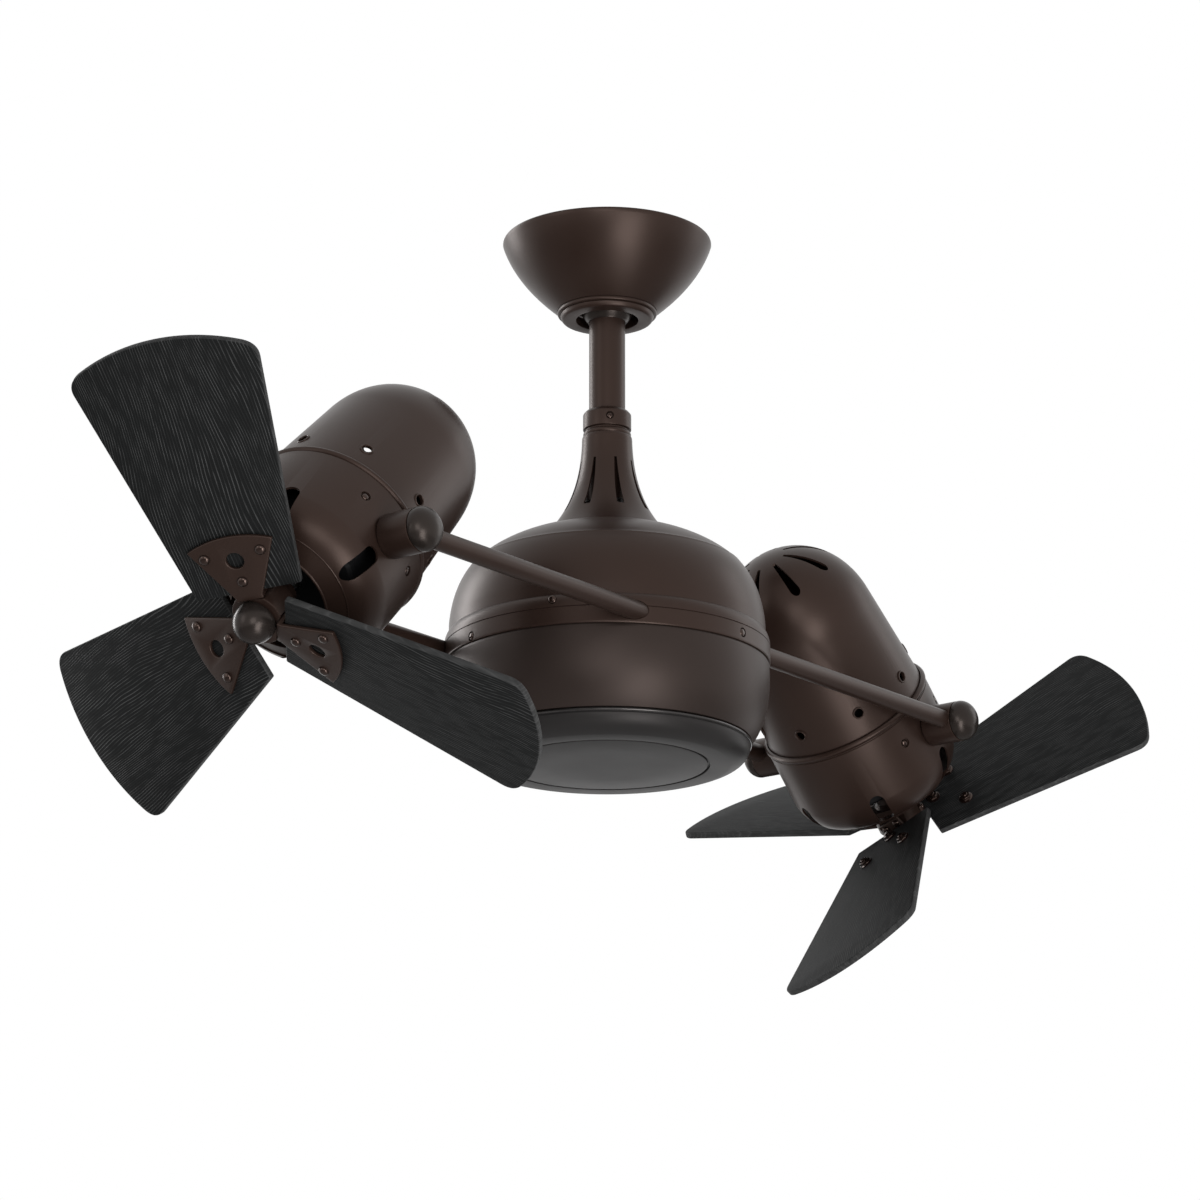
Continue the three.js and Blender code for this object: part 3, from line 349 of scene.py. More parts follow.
def piece(name, mesh, material, body, at=Matrix.Identity(4), replaces=(), sharp=28):
    """A named object in its place, riding on a body. Its mesh is in millimetres until here."""
    mesh.transform(Matrix.Scale(MM, 4))
    obj = bpy.data.objects.new(name, mesh)
    bpy.context.scene.collection.objects.link(obj)
    mesh.materials.clear()
    mesh.materials.append(material)
    smooth(mesh, sharp)
    place = at.copy()
    place.translation = place.translation * MM
    obj.matrix_world = place
    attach(obj, body)
    if replaces:
        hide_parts(*replaces)


def smooth(mesh, degrees):
    mesh.polygons.foreach_set("use_smooth", [True] * len(mesh.polygons))
    mesh.set_sharp_from_angle(angle=math.radians(degrees))


def to_mesh(work):
    bmesh.ops.recalc_face_normals(work, faces=work.faces)
    mesh = bpy.data.meshes.new("made")
    work.to_mesh(mesh)
    work.free()
    return mesh


def rounded(points, steps=4):
    """Outline with its marked corners rounded: a point is (r, z) or (r, z, radius)."""
    out = []
    for i, point in enumerate(points):
        here = Vector(point[:2])
        radius = point[2] if len(point) > 2 else 0
        if not radius or not 0 < i < len(points) - 1:
            out.append(here)
            continue
        before, after = (Vector(points[j][:2]) - here for j in (i - 1, i + 1))
        reach = min(radius, 0.49 * before.length, 0.49 * after.length)
        start, end = here + before.normalized() * reach, here + after.normalized() * reach
        for k in range(steps + 1):
            t = k / steps
            out.append(start.lerp(here, t).lerp(here.lerp(end, t), t))
    return [tuple(p) for p in out]


def bend(start, pull, end, steps=12):
    """Points of a quadratic bend, both ends included."""
    a, b, c = Vector(start), Vector(pull), Vector(end)
    stops = [i / steps for i in range(steps + 1)]
    return [tuple(a.lerp(b, t).lerp(b.lerp(c, t), t)) for t in stops]


def cubic(points, steps):
    """Points of a cubic bend, both ends included."""
    a, b, c, d = (Vector(p) for p in points)
    out = []
    for i in range(steps + 1):
        t = i / steps
        u = 1 - t
        out.append(tuple(a * u ** 3 + b * 3 * t * u ** 2 + c * 3 * t * t * u + d * t ** 3))
    return out


def half_dome(r, low, rise, steps=16):
    """Outline of a dome from its widest place up to its top."""
    turn = [math.pi / 2 * k / steps for k in range(steps + 1)]
    out = [(r * math.cos(a), low + rise * math.sin(a)) for a in turn]
    out[-1] = (0, out[-1][1])
    return out


def wire(centre, r, steps):
    """Closed outline of a round wire."""
    turn = [2 * math.pi * k / steps for k in range(steps)]
    return [(centre[0] + r * math.cos(a), centre[1] + r * math.sin(a)) for a in turn]


def bowed_end(corner, half, bulge, steps):
    """Arc between the two corners of a plate's outer end."""
    r = (half * half + bulge * bulge) / (2 * bulge)
    centre, limit = corner + bulge - r, math.asin(half / r)
    turn = [-limit + 2 * limit * i / steps for i in range(steps + 1)]
    return [(centre + r * math.cos(a), r * math.sin(a)) for a in turn]


def round_end(at, r, start, steps):
    """Half circle round a point on the X axis, from an angle in degrees."""
    turn = [math.radians(start + 180 * k / steps) for k in range(steps + 1)]
    return [(at + r * math.cos(a), r * math.sin(a)) for a in turn]


def hexagon(r):
    turn = [math.radians(60 * i) for i in range(6)]
    return [(r * math.cos(a), r * math.sin(a)) for a in turn]


def inset(line, distance):
    """The same open outline moved to its left by a distance, for the inside of a sheet."""
    out = []
    for i, point in enumerate(line):
        before, after = line[max(i - 1, 0)], line[min(i + 1, len(line) - 1)]
        run = Vector((after[0] - before[0], after[1] - before[1])).normalized()
        out.append((max(point[0] - run.y * distance, 0), point[1] + run.x * distance))
    return out


def lathe(outline, segments=ROUND, closed=True, lift=0.0):
    """Mesh turned about Z from (r, z) points; a closed outline's last point joins its first."""
    work = bmesh.new()
    rings = []
    for r, z in outline:
        if r < 1e-6:
            rings.append([work.verts.new((0, 0, z + lift))])
            continue
        turn = [2 * math.pi * i / segments for i in range(segments)]
        rings.append([work.verts.new((r * math.cos(a), r * math.sin(a), z + lift)) for a in turn])
    pairs = list(zip(rings, rings[1:]))
    if closed:
        pairs.append((rings[-1], rings[0]))
    for low, high in pairs:
        for i in range(segments):
            j = (i + 1) % segments
            if len(low) == 1 and len(high) == 1:
                break
            if len(low) == 1:
                work.faces.new((low[0], high[j], high[i]))
            elif len(high) == 1:
                work.faces.new((low[i], low[j], high[0]))
            else:
                work.faces.new((low[i], low[j], high[j], high[i]))
    return to_mesh(work)


def post(r, low, high, segments=SMALL_ROUND):
    """Round bar on the Z axis, also used as a drill."""
    return lathe([(0, low), (r, low), (r, high), (0, high)], segments, closed=False)


def countersink(r, low, wide, high):
    """Tool for a hole that widens outwards."""
    return lathe([(0, low), (r, low), (wide, high), (0, high)], SMALL_ROUND, closed=False)


def slab(outline, low, high):
    """Flat piece between two heights from (x, y) outline points."""
    work = bmesh.new()
    face = work.faces.new([work.verts.new((x, y, low)) for x, y in outline])
    new = bmesh.ops.extrude_face_region(work, geom=[face])["geom"]
    lifted = [v for v in new if isinstance(v, bmesh.types.BMVert)]
    bmesh.ops.translate(work, verts=lifted, vec=(0, 0, high - low))
    return to_mesh(work)


def box(low, high):
    """Block between two corners."""
    outline = [(low[0], low[1]), (high[0], low[1]), (high[0], high[1]), (low[0], high[1])]
    return slab(outline, low[2], high[2])


def moved(mesh, matrix):
    mesh.transform(matrix)
    return mesh


def joined(*meshes):
    work = bmesh.new()
    for mesh in meshes:
        work.from_mesh(mesh)
    out = bpy.data.meshes.new("joined")
    work.to_mesh(out)
    work.free()
    return out


def carve(mesh, tools, operation="DIFFERENCE"):
    """Mesh with the tools cut away from it or joined to it."""
    def temporary(name, data):
        obj = bpy.data.objects.new(name, data)
        bpy.context.scene.collection.objects.link(obj)
        return obj
    target, tool = temporary("target", mesh), temporary("tool", joined(*tools))
    modifier = target.modifiers.new("cut", "BOOLEAN")
    modifier.object, modifier.operation, modifier.solver = tool, operation, "EXACT"
    modifier.use_self = operation == "UNION"
    depsgraph = bpy.context.evaluated_depsgraph_get()
    depsgraph.update()
    result = bpy.data.meshes.new_from_object(target.evaluated_get(depsgraph))
    for obj in (target, tool):
        bpy.data.objects.remove(obj)
    return result


def bevelled(mesh, width, segments=2, angle=40):
    """Mesh with its sharp edges rounded off."""
    obj = bpy.data.objects.new("bevelled", mesh)
    bpy.context.scene.collection.objects.link(obj)
    modifier = obj.modifiers.new("bevel", "BEVEL")
    modifier.width, modifier.segments = width, segments
    modifier.limit_method, modifier.angle_limit = "ANGLE", math.radians(angle)
    depsgraph = bpy.context.evaluated_depsgraph_get()
    depsgraph.update()
    result = bpy.data.meshes.new_from_object(obj.evaluated_get(depsgraph))
    bpy.data.objects.remove(obj)
    return result


def turned(degrees, axis="Z"):
    return Matrix.Rotation(math.radians(degrees), 4, axis)


def shifted(x, y, z):
    return Matrix.Translation((x, y, z))


def along(direction):
    """Matrix that lays +Z along a direction."""
    return Vector(direction).to_track_quat("Z", "X").to_matrix().to_4x4()


def outwards(degrees):
    """Matrix that lays +Z along a level direction."""
    return along((math.cos(math.radians(degrees)), math.sin(math.radians(degrees)), 0))


# ---------------------------------------------------------------- screws

def pan_screw(r, height, sink=0.6, socket=True):
    """Low domed screw head, standing on z = 0, with a cross shaped drive where it has a socket."""
    side, steps = 0.15, 7
    outline = [(0, -sink), (r, -sink), (r, side * height)]
    outline += [(r * math.cos(a), height * (side + (1 - side) * math.sin(a)))
                for a in (math.pi / 2 * k / steps for k in range(1, steps))]
    outline.append((0, height))
    head = lathe(outline, SMALL_ROUND, closed=False)
    if not socket:
        return head
    reach, half, floor_z = 0.55 * r, 0.13 * r, 0.6 * height
    bar = [(-reach, -half, floor_z), (reach, half, 2 * height)]
    cross = [moved(box(*bar), turned(a)) for a in (20, 110)]
    return carve(head, [carve(cross[0], [cross[1]], "UNION")])


def hex_nut(r, height):
    """Hexagon nut with chamfered corners, standing on z = 0, and the screw's end in it."""
    blank = slab(hexagon(r), 0, height)
    chamfer = lathe([(0, -1), (r * 1.02, -1), (r * 1.02, height - 0.8), (0.8 * r, height + 0.02),
                     (0, height + 0.02)], SMALL_ROUND, closed=False)
    nut = carve(blank, [chamfer], "INTERSECT")
    end = lathe([(0, height - 1), (0.5 * r, height - 1), (0.5 * r, height + 0.9),
                 (0.4 * r, height + 1.3), (0, height + 1.3)], SMALL_ROUND, closed=False)
    return joined(nut, end)


def bead_ring(r, tube, steps=10):
    """Thin ring that rounds the edge of a punched hole."""
    return lathe(wire((r, 0), tube, steps), SMALL_ROUND)


# ---------------------------------------------------------------- ceiling side

def canopy():
    wall = bend((CANOPY_NECK_R, -CANOPY_DEPTH), CANOPY_BELLY, (CANOPY_R, -CANOPY_EDGE), 24)
    lip = bend((CANOPY_R, -CANOPY_EDGE), (CANOPY_R, -0.2), (CANOPY_R - 0.9, 0), 4)[1:]
    outside = [(CANOPY_BORE_R, -CANOPY_DEPTH)] + wall + lip
    inside = inset(wall, SHEET)
    outline = outside + [(CANOPY_R - 2.8, 0)] + inside[::-1] + [(CANOPY_BORE_R, -CANOPY_DEPTH + SHEET)]
    piece("canopy_cover", lathe(outline), BRONZE, "ceiling_mount", replaces=["canopy"])


def trim_ring():
    top = -CANOPY_DEPTH - GAP
    bottom = top - TRIM_DEPTH
    outline = rounded([
        (TRIM_HOLE_R + 1.5, top), (TRIM_HOLE_R + 1.2, top - 3), (TRIM_HOLE_R, bottom, 0.6),
        (CANOPY_NECK_R - 3.4, bottom, 2.2), (CANOPY_NECK_R - 2.2, top - 3.0, 0.5),
        (CANOPY_NECK_R - 2.6, top - 2.6), (CANOPY_NECK_R - 0.4, top - 2.5, 1.1),
        (CANOPY_NECK_R, top - 1.2, 0.8), (CANOPY_NECK_R - 0.3, top),
    ])
    piece("trim_ring", lathe(outline), BRONZE, "ceiling_mount",
          replaces=["canopy_trim_ring"])


def rod_and_ball():
    """The ball with the waist that lets it rock, and the tube that hangs from it."""
    limit, steps = math.asin(BALL_HALF_HEIGHT / BALL_R), 24
    arc = [(BALL_R * math.cos(a), -BALL_DROP + BALL_R * math.sin(a))
           for a in (-limit + 2 * limit * i / steps for i in range(steps + 1))]
    bore, rim, waist = ROD_R + GAP, -61, (17.8, -48.5)
    neck = bend((14.1, -60.5), (18.6, -56), (19.2, -52), 12)
    ball = lathe([(bore, rim), (13.8, rim)] + neck + [waist] + arc + [(bore, arc[-1][1])])
    piece("rod_ball", ball, SATIN, "hanging_rod", replaces=["hanger_ball"])
    top, bottom = -BALL_DROP + 12, ARM_PLANE + ROD_BOTTOM + GAP
    wall = ROD_R - ROD_WALL
    tube = lathe([(wall, bottom), (ROD_R, bottom), (ROD_R, top), (wall, top)])
    piece("rod_tube", tube, BRONZE, "hanging_rod", replaces=["downrod"])


def coupling():
    r, top, foot, sleeve = COLLAR_R, COLLAR_TOP, 112, 15.4
    bore, spindle_bore, cable_bore = ROD_R + GAP, 8.3, 3.5
    outline = rounded([
        (spindle_bore, foot), (sleeve, foot), (sleeve, COLLAR_BOTTOM), (r, COLLAR_BOTTOM, 0.5),
        (r, top - 2.6, 0.7), (r - 2.2, top, 0.8), (bore, top), (bore, ROD_BOTTOM),
        (cable_bore, ROD_BOTTOM), (cable_bore, 136), (spindle_bore, 136),
    ])
    body = lathe(outline, lift=ARM_PLANE)
    turn, height = COLLAR_SCREW
    seat = r - 1.8
    place = outwards(turn)
    hole = moved(post(2.9, seat, r + BEYOND), shifted(0, 0, ARM_PLANE + height) @ place)
    body = carve(body, [hole])
    piece("collar", body, BRONZE, "hanging_rod", replaces=["coupling_collar"])
    screw = moved(pan_screw(2.5, 1.6),
                  shifted(0, 0, ARM_PLANE + height) @ place @ shifted(0, 0, seat))
    piece("collar_screw", screw, DARK_SCREW, "hanging_rod")


def bell():
    """Flared cover with a rolled ring at its top and long slots round it."""
    flare = bend(BELL_FOOT, (19.2, 113), BELL_NECK, 30)
    inside = inset(flare, SHEET)
    inside[0] = (BELL_FOOT[0] - SHEET, BELL_FOOT[1] + 0.3)
    rolled = bend((16.7, 161.0), (17.9, 163.2), (16.0, 164.6), 8)
    top = [(17.9, 159.6), (17.4, 160.7)] + rolled + [(15.9, 165.7), (15.7, 165.7), (15.7, 160)]
    shell = lathe(flare + top + inside[::-1], lift=ARM_PLANE)
    tool = moved(slab(BELL_SLOT, 15.4, 60), turned(90, "X"))
    tools = []
    for i in range(BELL_SLOTS):
        turn = turned(BELL_SLOT_TURN + 360 / BELL_SLOTS * i)
        tools.append(moved(tool.copy(), shifted(0, 0, ARM_PLANE) @ turn))
    piece("bell", carve(shell, tools), BRONZE, "hanging_rod", replaces=["bell_cover"])


# ---------------------------------------------------------------- turning body

def dome():
    """Upper cover: a side that leans in, a fine ledge, and the crown. Its spigot sits in the belt."""
    foot = BELT_TOP + 0.05
    outside = [(DOME_SIDE_R + 0.1, foot), (DOME_SIDE_R, 20)]
    outside += bend((DOME_SIDE_R, 20), (110, 46), (96.4, 61.9), 18)[1:]
    outside += [(96.2, 62.3), (95.7, 62.6)] + bend((95.2, 62.9), (70, 86), (22, 91), 22)
    inside = inset(outside[2:], SHEET)
    r, bottom = DOME_SPIGOT_R, BELT_TOP - 3
    outline = [(r, bottom), (r, foot)] + outside + inside[::-1]
    outline += [(r - SHEET, foot), (r - SHEET, bottom)]
    piece("dome", lathe(outline, lift=ARM_PLANE), BRONZE, "turning_body",
          replaces=["upper_dome"])


def bowl():
    """Lower cover, widest under the belt."""
    top = BELT_BOTTOM - 0.05
    wall = bend((101.8, BOWL_BOTTOM), (116.5, -46), (114.6, -12), 24)
    rim = [(114.5, BELT_BOTTOM - 1.4), (113.8, top)]
    outline = [(98.6, BOWL_BOTTOM)] + wall + rim + [(111, top)] + inset(wall, SHEET)[::-1]
    outline += [(98.6, BOWL_BOTTOM + SHEET)]
    piece("bowl", lathe(outline, lift=ARM_PLANE), BOWL, "turning_body",
          replaces=["lower_bowl"])


def bottom_pan():
    """Pan with a polished rim, and the flat disc in its middle."""
    groove_r, ledge, collar_r = DISC_R + 1.8, PAN_FACE + 1.6, 98.3
    wall = bend((86, PAN_FACE), (99.3, -78.3), (100.8, -68.6), 14) + [(100.5, -67.6), (100.9, -66.9)]
    outline = [(58.3, ledge), (groove_r, ledge), (groove_r, -80.7), (72.7, PAN_FACE)] + wall
    outline += [(collar_r, -66.4), (collar_r, -59.8), (collar_r - SHEET, -59.8),
                (collar_r - SHEET, -66.6), (86, PAN_FACE + 1.8), (58.3, PAN_FACE + 3.2)]
    piece("pan", lathe(outline, lift=ARM_PLANE), CHARCOAL, "turning_body",
          replaces=["bottom_plate"])
    rim = wire((101.2, -66.6), 0.95, 12)
    piece("pan_rim", lathe(rim, lift=ARM_PLANE), RIM, "turning_body")

    back, boss_r, boss_top = -79.7, 58, -73.7
    outline = [(0, -82), (40, -81.7), (69, -81.1), (70.3, -80.9), (DISC_R, -80.6), (DISC_R, back),
               (boss_r, back), (boss_r, boss_top), (0, boss_top)]
    piece("cap_disc", lathe(outline, closed=False, lift=ARM_PLANE), CHARCOAL, "turning_body",
          replaces=["centre_cap"])


def carrier():
    """Belt with a fine seam line, its web, the holes for the arms and the sunk screws."""
    inner = BELT_R - 4
    web_top = -ARM_R - GAP
    web_bottom = web_top - 4.8
    shoulder = BELT_TOP - 8.6
    belt = rounded([
        (23, web_bottom), (BELT_LEDGE_R, web_bottom), (BELT_LEDGE_R, BELT_BOTTOM),
        (BELT_R - 0.3, BELT_BOTTOM), (BELT_R, BELT_BOTTOM + 0.8, 0.6), (BELT_R, BELT_SEAM - 0.35),
        (BELT_R - 0.5, BELT_SEAM), (BELT_R, BELT_SEAM + 0.35), (BELT_R, shoulder),
    ])
    belt += bend((BELT_R, shoulder), (BELT_R - 0.2, BELT_TOP - 2.6), (BELT_R - 3, BELT_TOP), 10)[1:]
    belt += [(inner, BELT_TOP), (inner, web_top), (23, web_top)]
    ring = lathe(belt, lift=ARM_PLANE)
    holes = [moved(post(ARM_R + GAP, ARM_INNER, BELT_R),
                   shifted(0, y * ARM_OFFSET, ARM_PLANE) @ along((x, 0, 0)))
             for x in (-1, 1) for y in (-1, 1)]
    places = [shifted(0, 0, ARM_PLANE + height) @ outwards(turn) for turn, height in BELT_SCREWS]
    seat = BELT_R - SCREW_SINK
    sink = countersink(3.4, seat, 3.7, BELT_R + BEYOND)
    ring = carve(ring, holes + [moved(sink.copy(), place) for place in places])
    barrel = lathe([(HUB_BORE_R, -40), (24, -40), (24, 40), (HUB_BORE_R, 40)], lift=ARM_PLANE)
    piece("belt", joined(ring, barrel), BRONZE, "turning_body", replaces=["carrier_ring"])
    for i, place in enumerate(places):
        screw = moved(pan_screw(3.0, 1.7, socket=False), place @ shifted(0, 0, seat))
        piece(f"belt_screw_{i + 1}", screw, DARK_SCREW, "turning_body")


def arm(x, y, name):
    """Arm rod that runs into the boss at the head's side."""
    rod = moved(post(ARM_R, ARM_INNER, PIVOT_X, 48),
                shifted(0, y * ARM_OFFSET, ARM_PLANE) @ along((x, 0, 0)))
    start, bore = FRONT_R + 0.5, PIVOT_BOLT_R + GAP
    outline = rounded([(bore, start), (BOSS_R, start, 0.6), (BOSS_R, BOSS_END, 0.5), (bore, BOSS_END)])
    place = shifted(x * PIVOT_X, 0, ARM_PLANE) @ along((0, y, 0))
    boss = moved(lathe(outline, BALL_ROUND), place)
    made = carve(rod, [boss], "UNION")
    piece(f"{name}_tube", made, BRONZE, "turning_body", replaces=[f"{name}_arm"])
    knob(name, place)


def knob(name, place):
    """Ball ended pivot bolt through the boss, with its nut inside the head."""
    face, nut_end, inside = BOSS_END + GAP, 58.7, 62.7
    outline = [(0, nut_end), (PIVOT_BOLT_R, nut_end), (PIVOT_BOLT_R, face), (BOSS_R - 0.8, face),
               (BOSS_R - 0.1, face + 0.6)] + half_dome(BOSS_R, face + 1.6, 11.4)
    bolt = lathe(outline, BALL_ROUND, closed=False)
    nut = slab(hexagon(7), nut_end, inside)
    piece(f"{name}_ball", moved(joined(bolt, nut), place), SATIN, "turning_body",
          replaces=[f"{name}_pivot_knob"])


# ---------------------------------------------------------------- heads

def head_matrix(side, tilt):
    return shifted(side * PIVOT_X, 0, ARM_PLANE) @ turned(side * (180 - tilt), "Y")


def side_place(degrees, station, r=0):
    """Matrix of a place on a head's side, +Z outwards."""
    return turned(degrees) @ shifted(0, 0, station) @ along((1, 0, 0)) @ shifted(0, 0, r)


def rear_shell(name, at):
    """Domed cover with drop shaped vents in its end and a ring of punched holes."""
    dome_end = cubic([(0, REAR_TIP), (27, REAR_TIP), (55.5, -146), (57.8, -106)], 30)
    outside = dome_end + [(REAR_R, SEAM), (REAR_R, REAR_COLLAR)]
    inside = inset(outside[1:-1], SHEET)
    shell = lathe(outside + [(REAR_R - SHEET, REAR_COLLAR)] + inside[::-1] + [(0, REAR_TIP + SHEET)],
                  closed=False)
    tools, rims = [], []
    vent = [(15, -1.2)] + round_end(40.75, 3.75, -90, 12) + [(15, 1.2)]
    for i in range(VENTS):
        tools.append(moved(slab(vent, -168, -120), turned(VENT_TURN + 360 / VENTS * i)))
        turn = 360 / PUNCHED_HOLES * i
        hole = moved(post(PUNCHED_R, 40, 70), shifted(0, 0, PUNCHED_STATION) @ along((1, 0, 0)))
        tools.append(moved(hole, turned(turn)))
        rims.append(moved(bead_ring(PUNCHED_R + 0.4, 0.7), side_place(turn, PUNCHED_STATION, 62.3)))
    piece(f"{name}_rear_cover", joined(carve(shell, tools), *rims), BRONZE, f"{name}_head",
          at, [f"{name}_rear_shell"], sharp=32)


def oblong(length, width, low, high, steps=10):
    """Bar with round ends along X."""
    reach, r = (length - width) / 2, width / 2
    return slab(round_end(reach, r, -90, steps) + round_end(-reach, r, 90, steps), low, high)


def front_shell(name, at):
    """Cover with the seam's bead, a bent shoulder cut by long slots, and a rolled mouth."""
    start, steps = SEAM + GAP, 10
    bead = [(FRONT_R - 0.2 + 1.3 * math.sin(math.pi * k / steps), start + 0.3 + 4.4 * k / steps)
            for k in range(steps + 1)]
    groove_r = FRONT_R - 0.6
    groove = [(groove_r, start + 4.9), (groove_r, start + 5.4), (FRONT_R, start + 5.9)]
    shoulder = bend((FRONT_R, 24), (63, 41), (50.5, 47.2), 14)
    ridge = [(50.9, 47.6), (50.5, 48.0), (50.0, 47.9), (49.7, 47.5)]
    lip = [(38.6, 53.1), (38.2, 53.8), (37.7, 54.0), (37.1, 53.9)]
    outside = bead + groove + shoulder + ridge + lip
    wall_r = FRONT_R - SHEET
    inside = [(36.9, 51.6), (48.3, 45.4), (58.2, 40.0), (63.2, 31.0), (wall_r, 24), (wall_r, start)]
    shell = lathe(outside + inside)
    tools = [moved(post(4.5, -80, 80), turned(90, "X"))]
    for i in range(SIDE_SLOTS):
        tool = moved(oblong(SIDE_SLOT["length"], SIDE_SLOT["width"], 37.5, 90), along((1, 0, 0)))
        turn = SIDE_SLOT["turn"] + 360 / SIDE_SLOTS * i
        tools.append(moved(tool, turned(turn) @ shifted(0, 0, SIDE_SLOT["station"])))
    angles = [side + step for side in (-90, 90) for step in (-SHELL_SCREW["step"], SHELL_SCREW["step"])]
    station, seat = SHELL_SCREW["station"], SHELL_SCREW["floor"]
    tools += [moved(countersink(3.5, seat, 3.8, 70), side_place(angle, station)) for angle in angles]
    piece(f"{name}_front_cover", carve(shell, tools), BRONZE, f"{name}_head", at,
          [f"{name}_front_shell"], sharp=32)
    for i, angle in enumerate(angles):
        screw = moved(pan_screw(2.6, 1.7, 0.05, False), side_place(angle, station, seat + 0.05))
        piece(f"{name}_shell_screw_{i + 1}", screw, DARK_SCREW, f"{name}_head", at)


def blade_frame(clock, index):
    return turned(clock + 120 * index) @ shifted(0, 0, BLADE_PLANE) @ Matrix.Rotation(PITCH, 4, "X")


def blade_outline():
    """Blade that widens outwards to a bowed end with rounded corners."""
    root, root_half, tip, half, bulge = 19.8, 36.2, 187.4, 64.7, 17.0
    corner, back, side = 7, 9 * 0.985, 9 * 0.17  # the rounding's reach on the arc and down the side
    arc = [p for p in bowed_end(tip, half, bulge, 40) if abs(p[1]) < half - corner]
    low = bend((tip - back, -half + side), (tip, -half), arc[0], 8)
    high = bend(arc[-1], (tip, half), (tip - back, half - side), 8)
    return [(root, root_half), (root, -root_half)] + low + arc[1:-1] + high


def blade(name, at, index):
    made = bevelled(slab(blade_outline(), -BLADE_THICK / 2, BLADE_THICK / 2), 1.1, 3)
    piece(f"{name}_wood_{index + 1}", made, WOOD, f"{name}_blade_set", at,
          [f"{name}_blade_{index + 1}"], sharp=40)


def iron(name, at, index):
    """Three cornered plate on the blade's face, with the tongue that is clamped to the hub."""
    neck, waist, half = 15.3, 18.3, IRON_HALF
    back, front = IRON_BACK, IRON_BACK + IRON_THICK
    outline = [(neck, half), (neck, -half), (waist, -half)] + bowed_end(56.5, 29.6, 6.4, 20)
    plate = slab(outline + [(waist, half)], back, front)
    tongue = box((neck, -half, front - 15), (waist, half, front))
    u, r = IRON_HOLE
    hole = moved(post(r, back - 1, front + 1, 40), shifted(u, 0, 0))
    made = bevelled(carve(carve(plate, [tongue], "UNION"), [hole]), 0.9, 3)
    piece(f"{name}_iron_{index + 1}", made, BRONZE, f"{name}_blade_set", at,
          [f"{name}_blade_iron_{index + 1}"], sharp=40)
    piece(f"{name}_blade_screws_{index + 1}", iron_screws(waist, front), DARK_SCREW,
          f"{name}_blade_set", at)


def iron_screws(waist, front):
    """Screw heads on the iron, nuts and washers behind the blade, and the tongue's two screws."""
    heads, nuts = [], []
    behind = -BLADE_THICK / 2
    for u, v in BLADE_SCREWS:
        heads.append(moved(pan_screw(3.6, 2.6, 0.3, False), shifted(u, v, front)))
        nuts.append(moved(hex_nut(4.4, 3.4), shifted(u, v, behind) @ turned(180, "X")))
        washer = lathe([(0, 0), (5.4, 0), (5.4, 0.8), (5.0, 1.0), (0, 1.0)], SMALL_ROUND, closed=False)
        nuts.append(moved(washer, shifted(u, v, behind) @ turned(180, "X")))
    for side in (-1, 1):
        place = shifted(waist, 5.2 * side, front - 10.5) @ along((1, 0, 0))
        nuts.append(moved(pan_screw(2.9, 2.0, socket=False), place))
    return joined(*heads, *nuts)


def hub(name, at):
    """Boss on the rotor's end with a flat for each iron."""
    r, barrel, bore, front = 18.6, 10.5, 6.3, 77.3
    outline = rounded([(bore, 44), (barrel, 44), (barrel, 54), (13.5, 57, 0.6), (r, 57, 0.8),
                       (r, front, 0.8), (bore, front)])
    body = lathe(outline, 96)
    flats = [moved(box((15, -40, -40), (40, 40, 40)), blade_frame(0, i)) for i in range(3)]
    piece(f"{name}_hub_body", bevelled(carve(body, flats), 0.3, 2), BRONZE, f"{name}_blade_set",
          at, [f"{name}_hub"])


def nose(name, at):
    start, r, tip, bore = 77.6, 14.4, 96.3, 6.3
    side = start + 2.2
    outline = [(bore, start), (r - 0.9, start), (r - 0.2, start + 0.7)] + half_dome(r, side, tip - side)
    outline += [(0, 85.3), (bore, 85.3)]
    piece(f"{name}_nose", lathe(outline, BALL_ROUND), SATIN, f"{name}_blade_set", at,
          [f"{name}_nose_cap"])


def head(name, side, tilt, clock):
    at = head_matrix(side, tilt)
    rear_shell(name, at)
    front_shell(name, at)
    spin = at @ turned(clock)
    hub(name, spin)
    nose(name, spin)
    for index in range(3):
        placed = at @ blade_frame(clock, index)
        blade(name, placed, index)
        iron(name, placed, index)


# ---------------------------------------------------------------- camera, light, stage

PHOTO_SIZE = 1200
PHOTO_FOCAL = 4472.4
PHOTO_AZIMUTH = math.radians(-51.82)
PHOTO_ELEVATION = math.radians(-15.48)
PHOTO_DISTANCE = 3.1604
AIM_PIXEL = (607.14, 654.12)


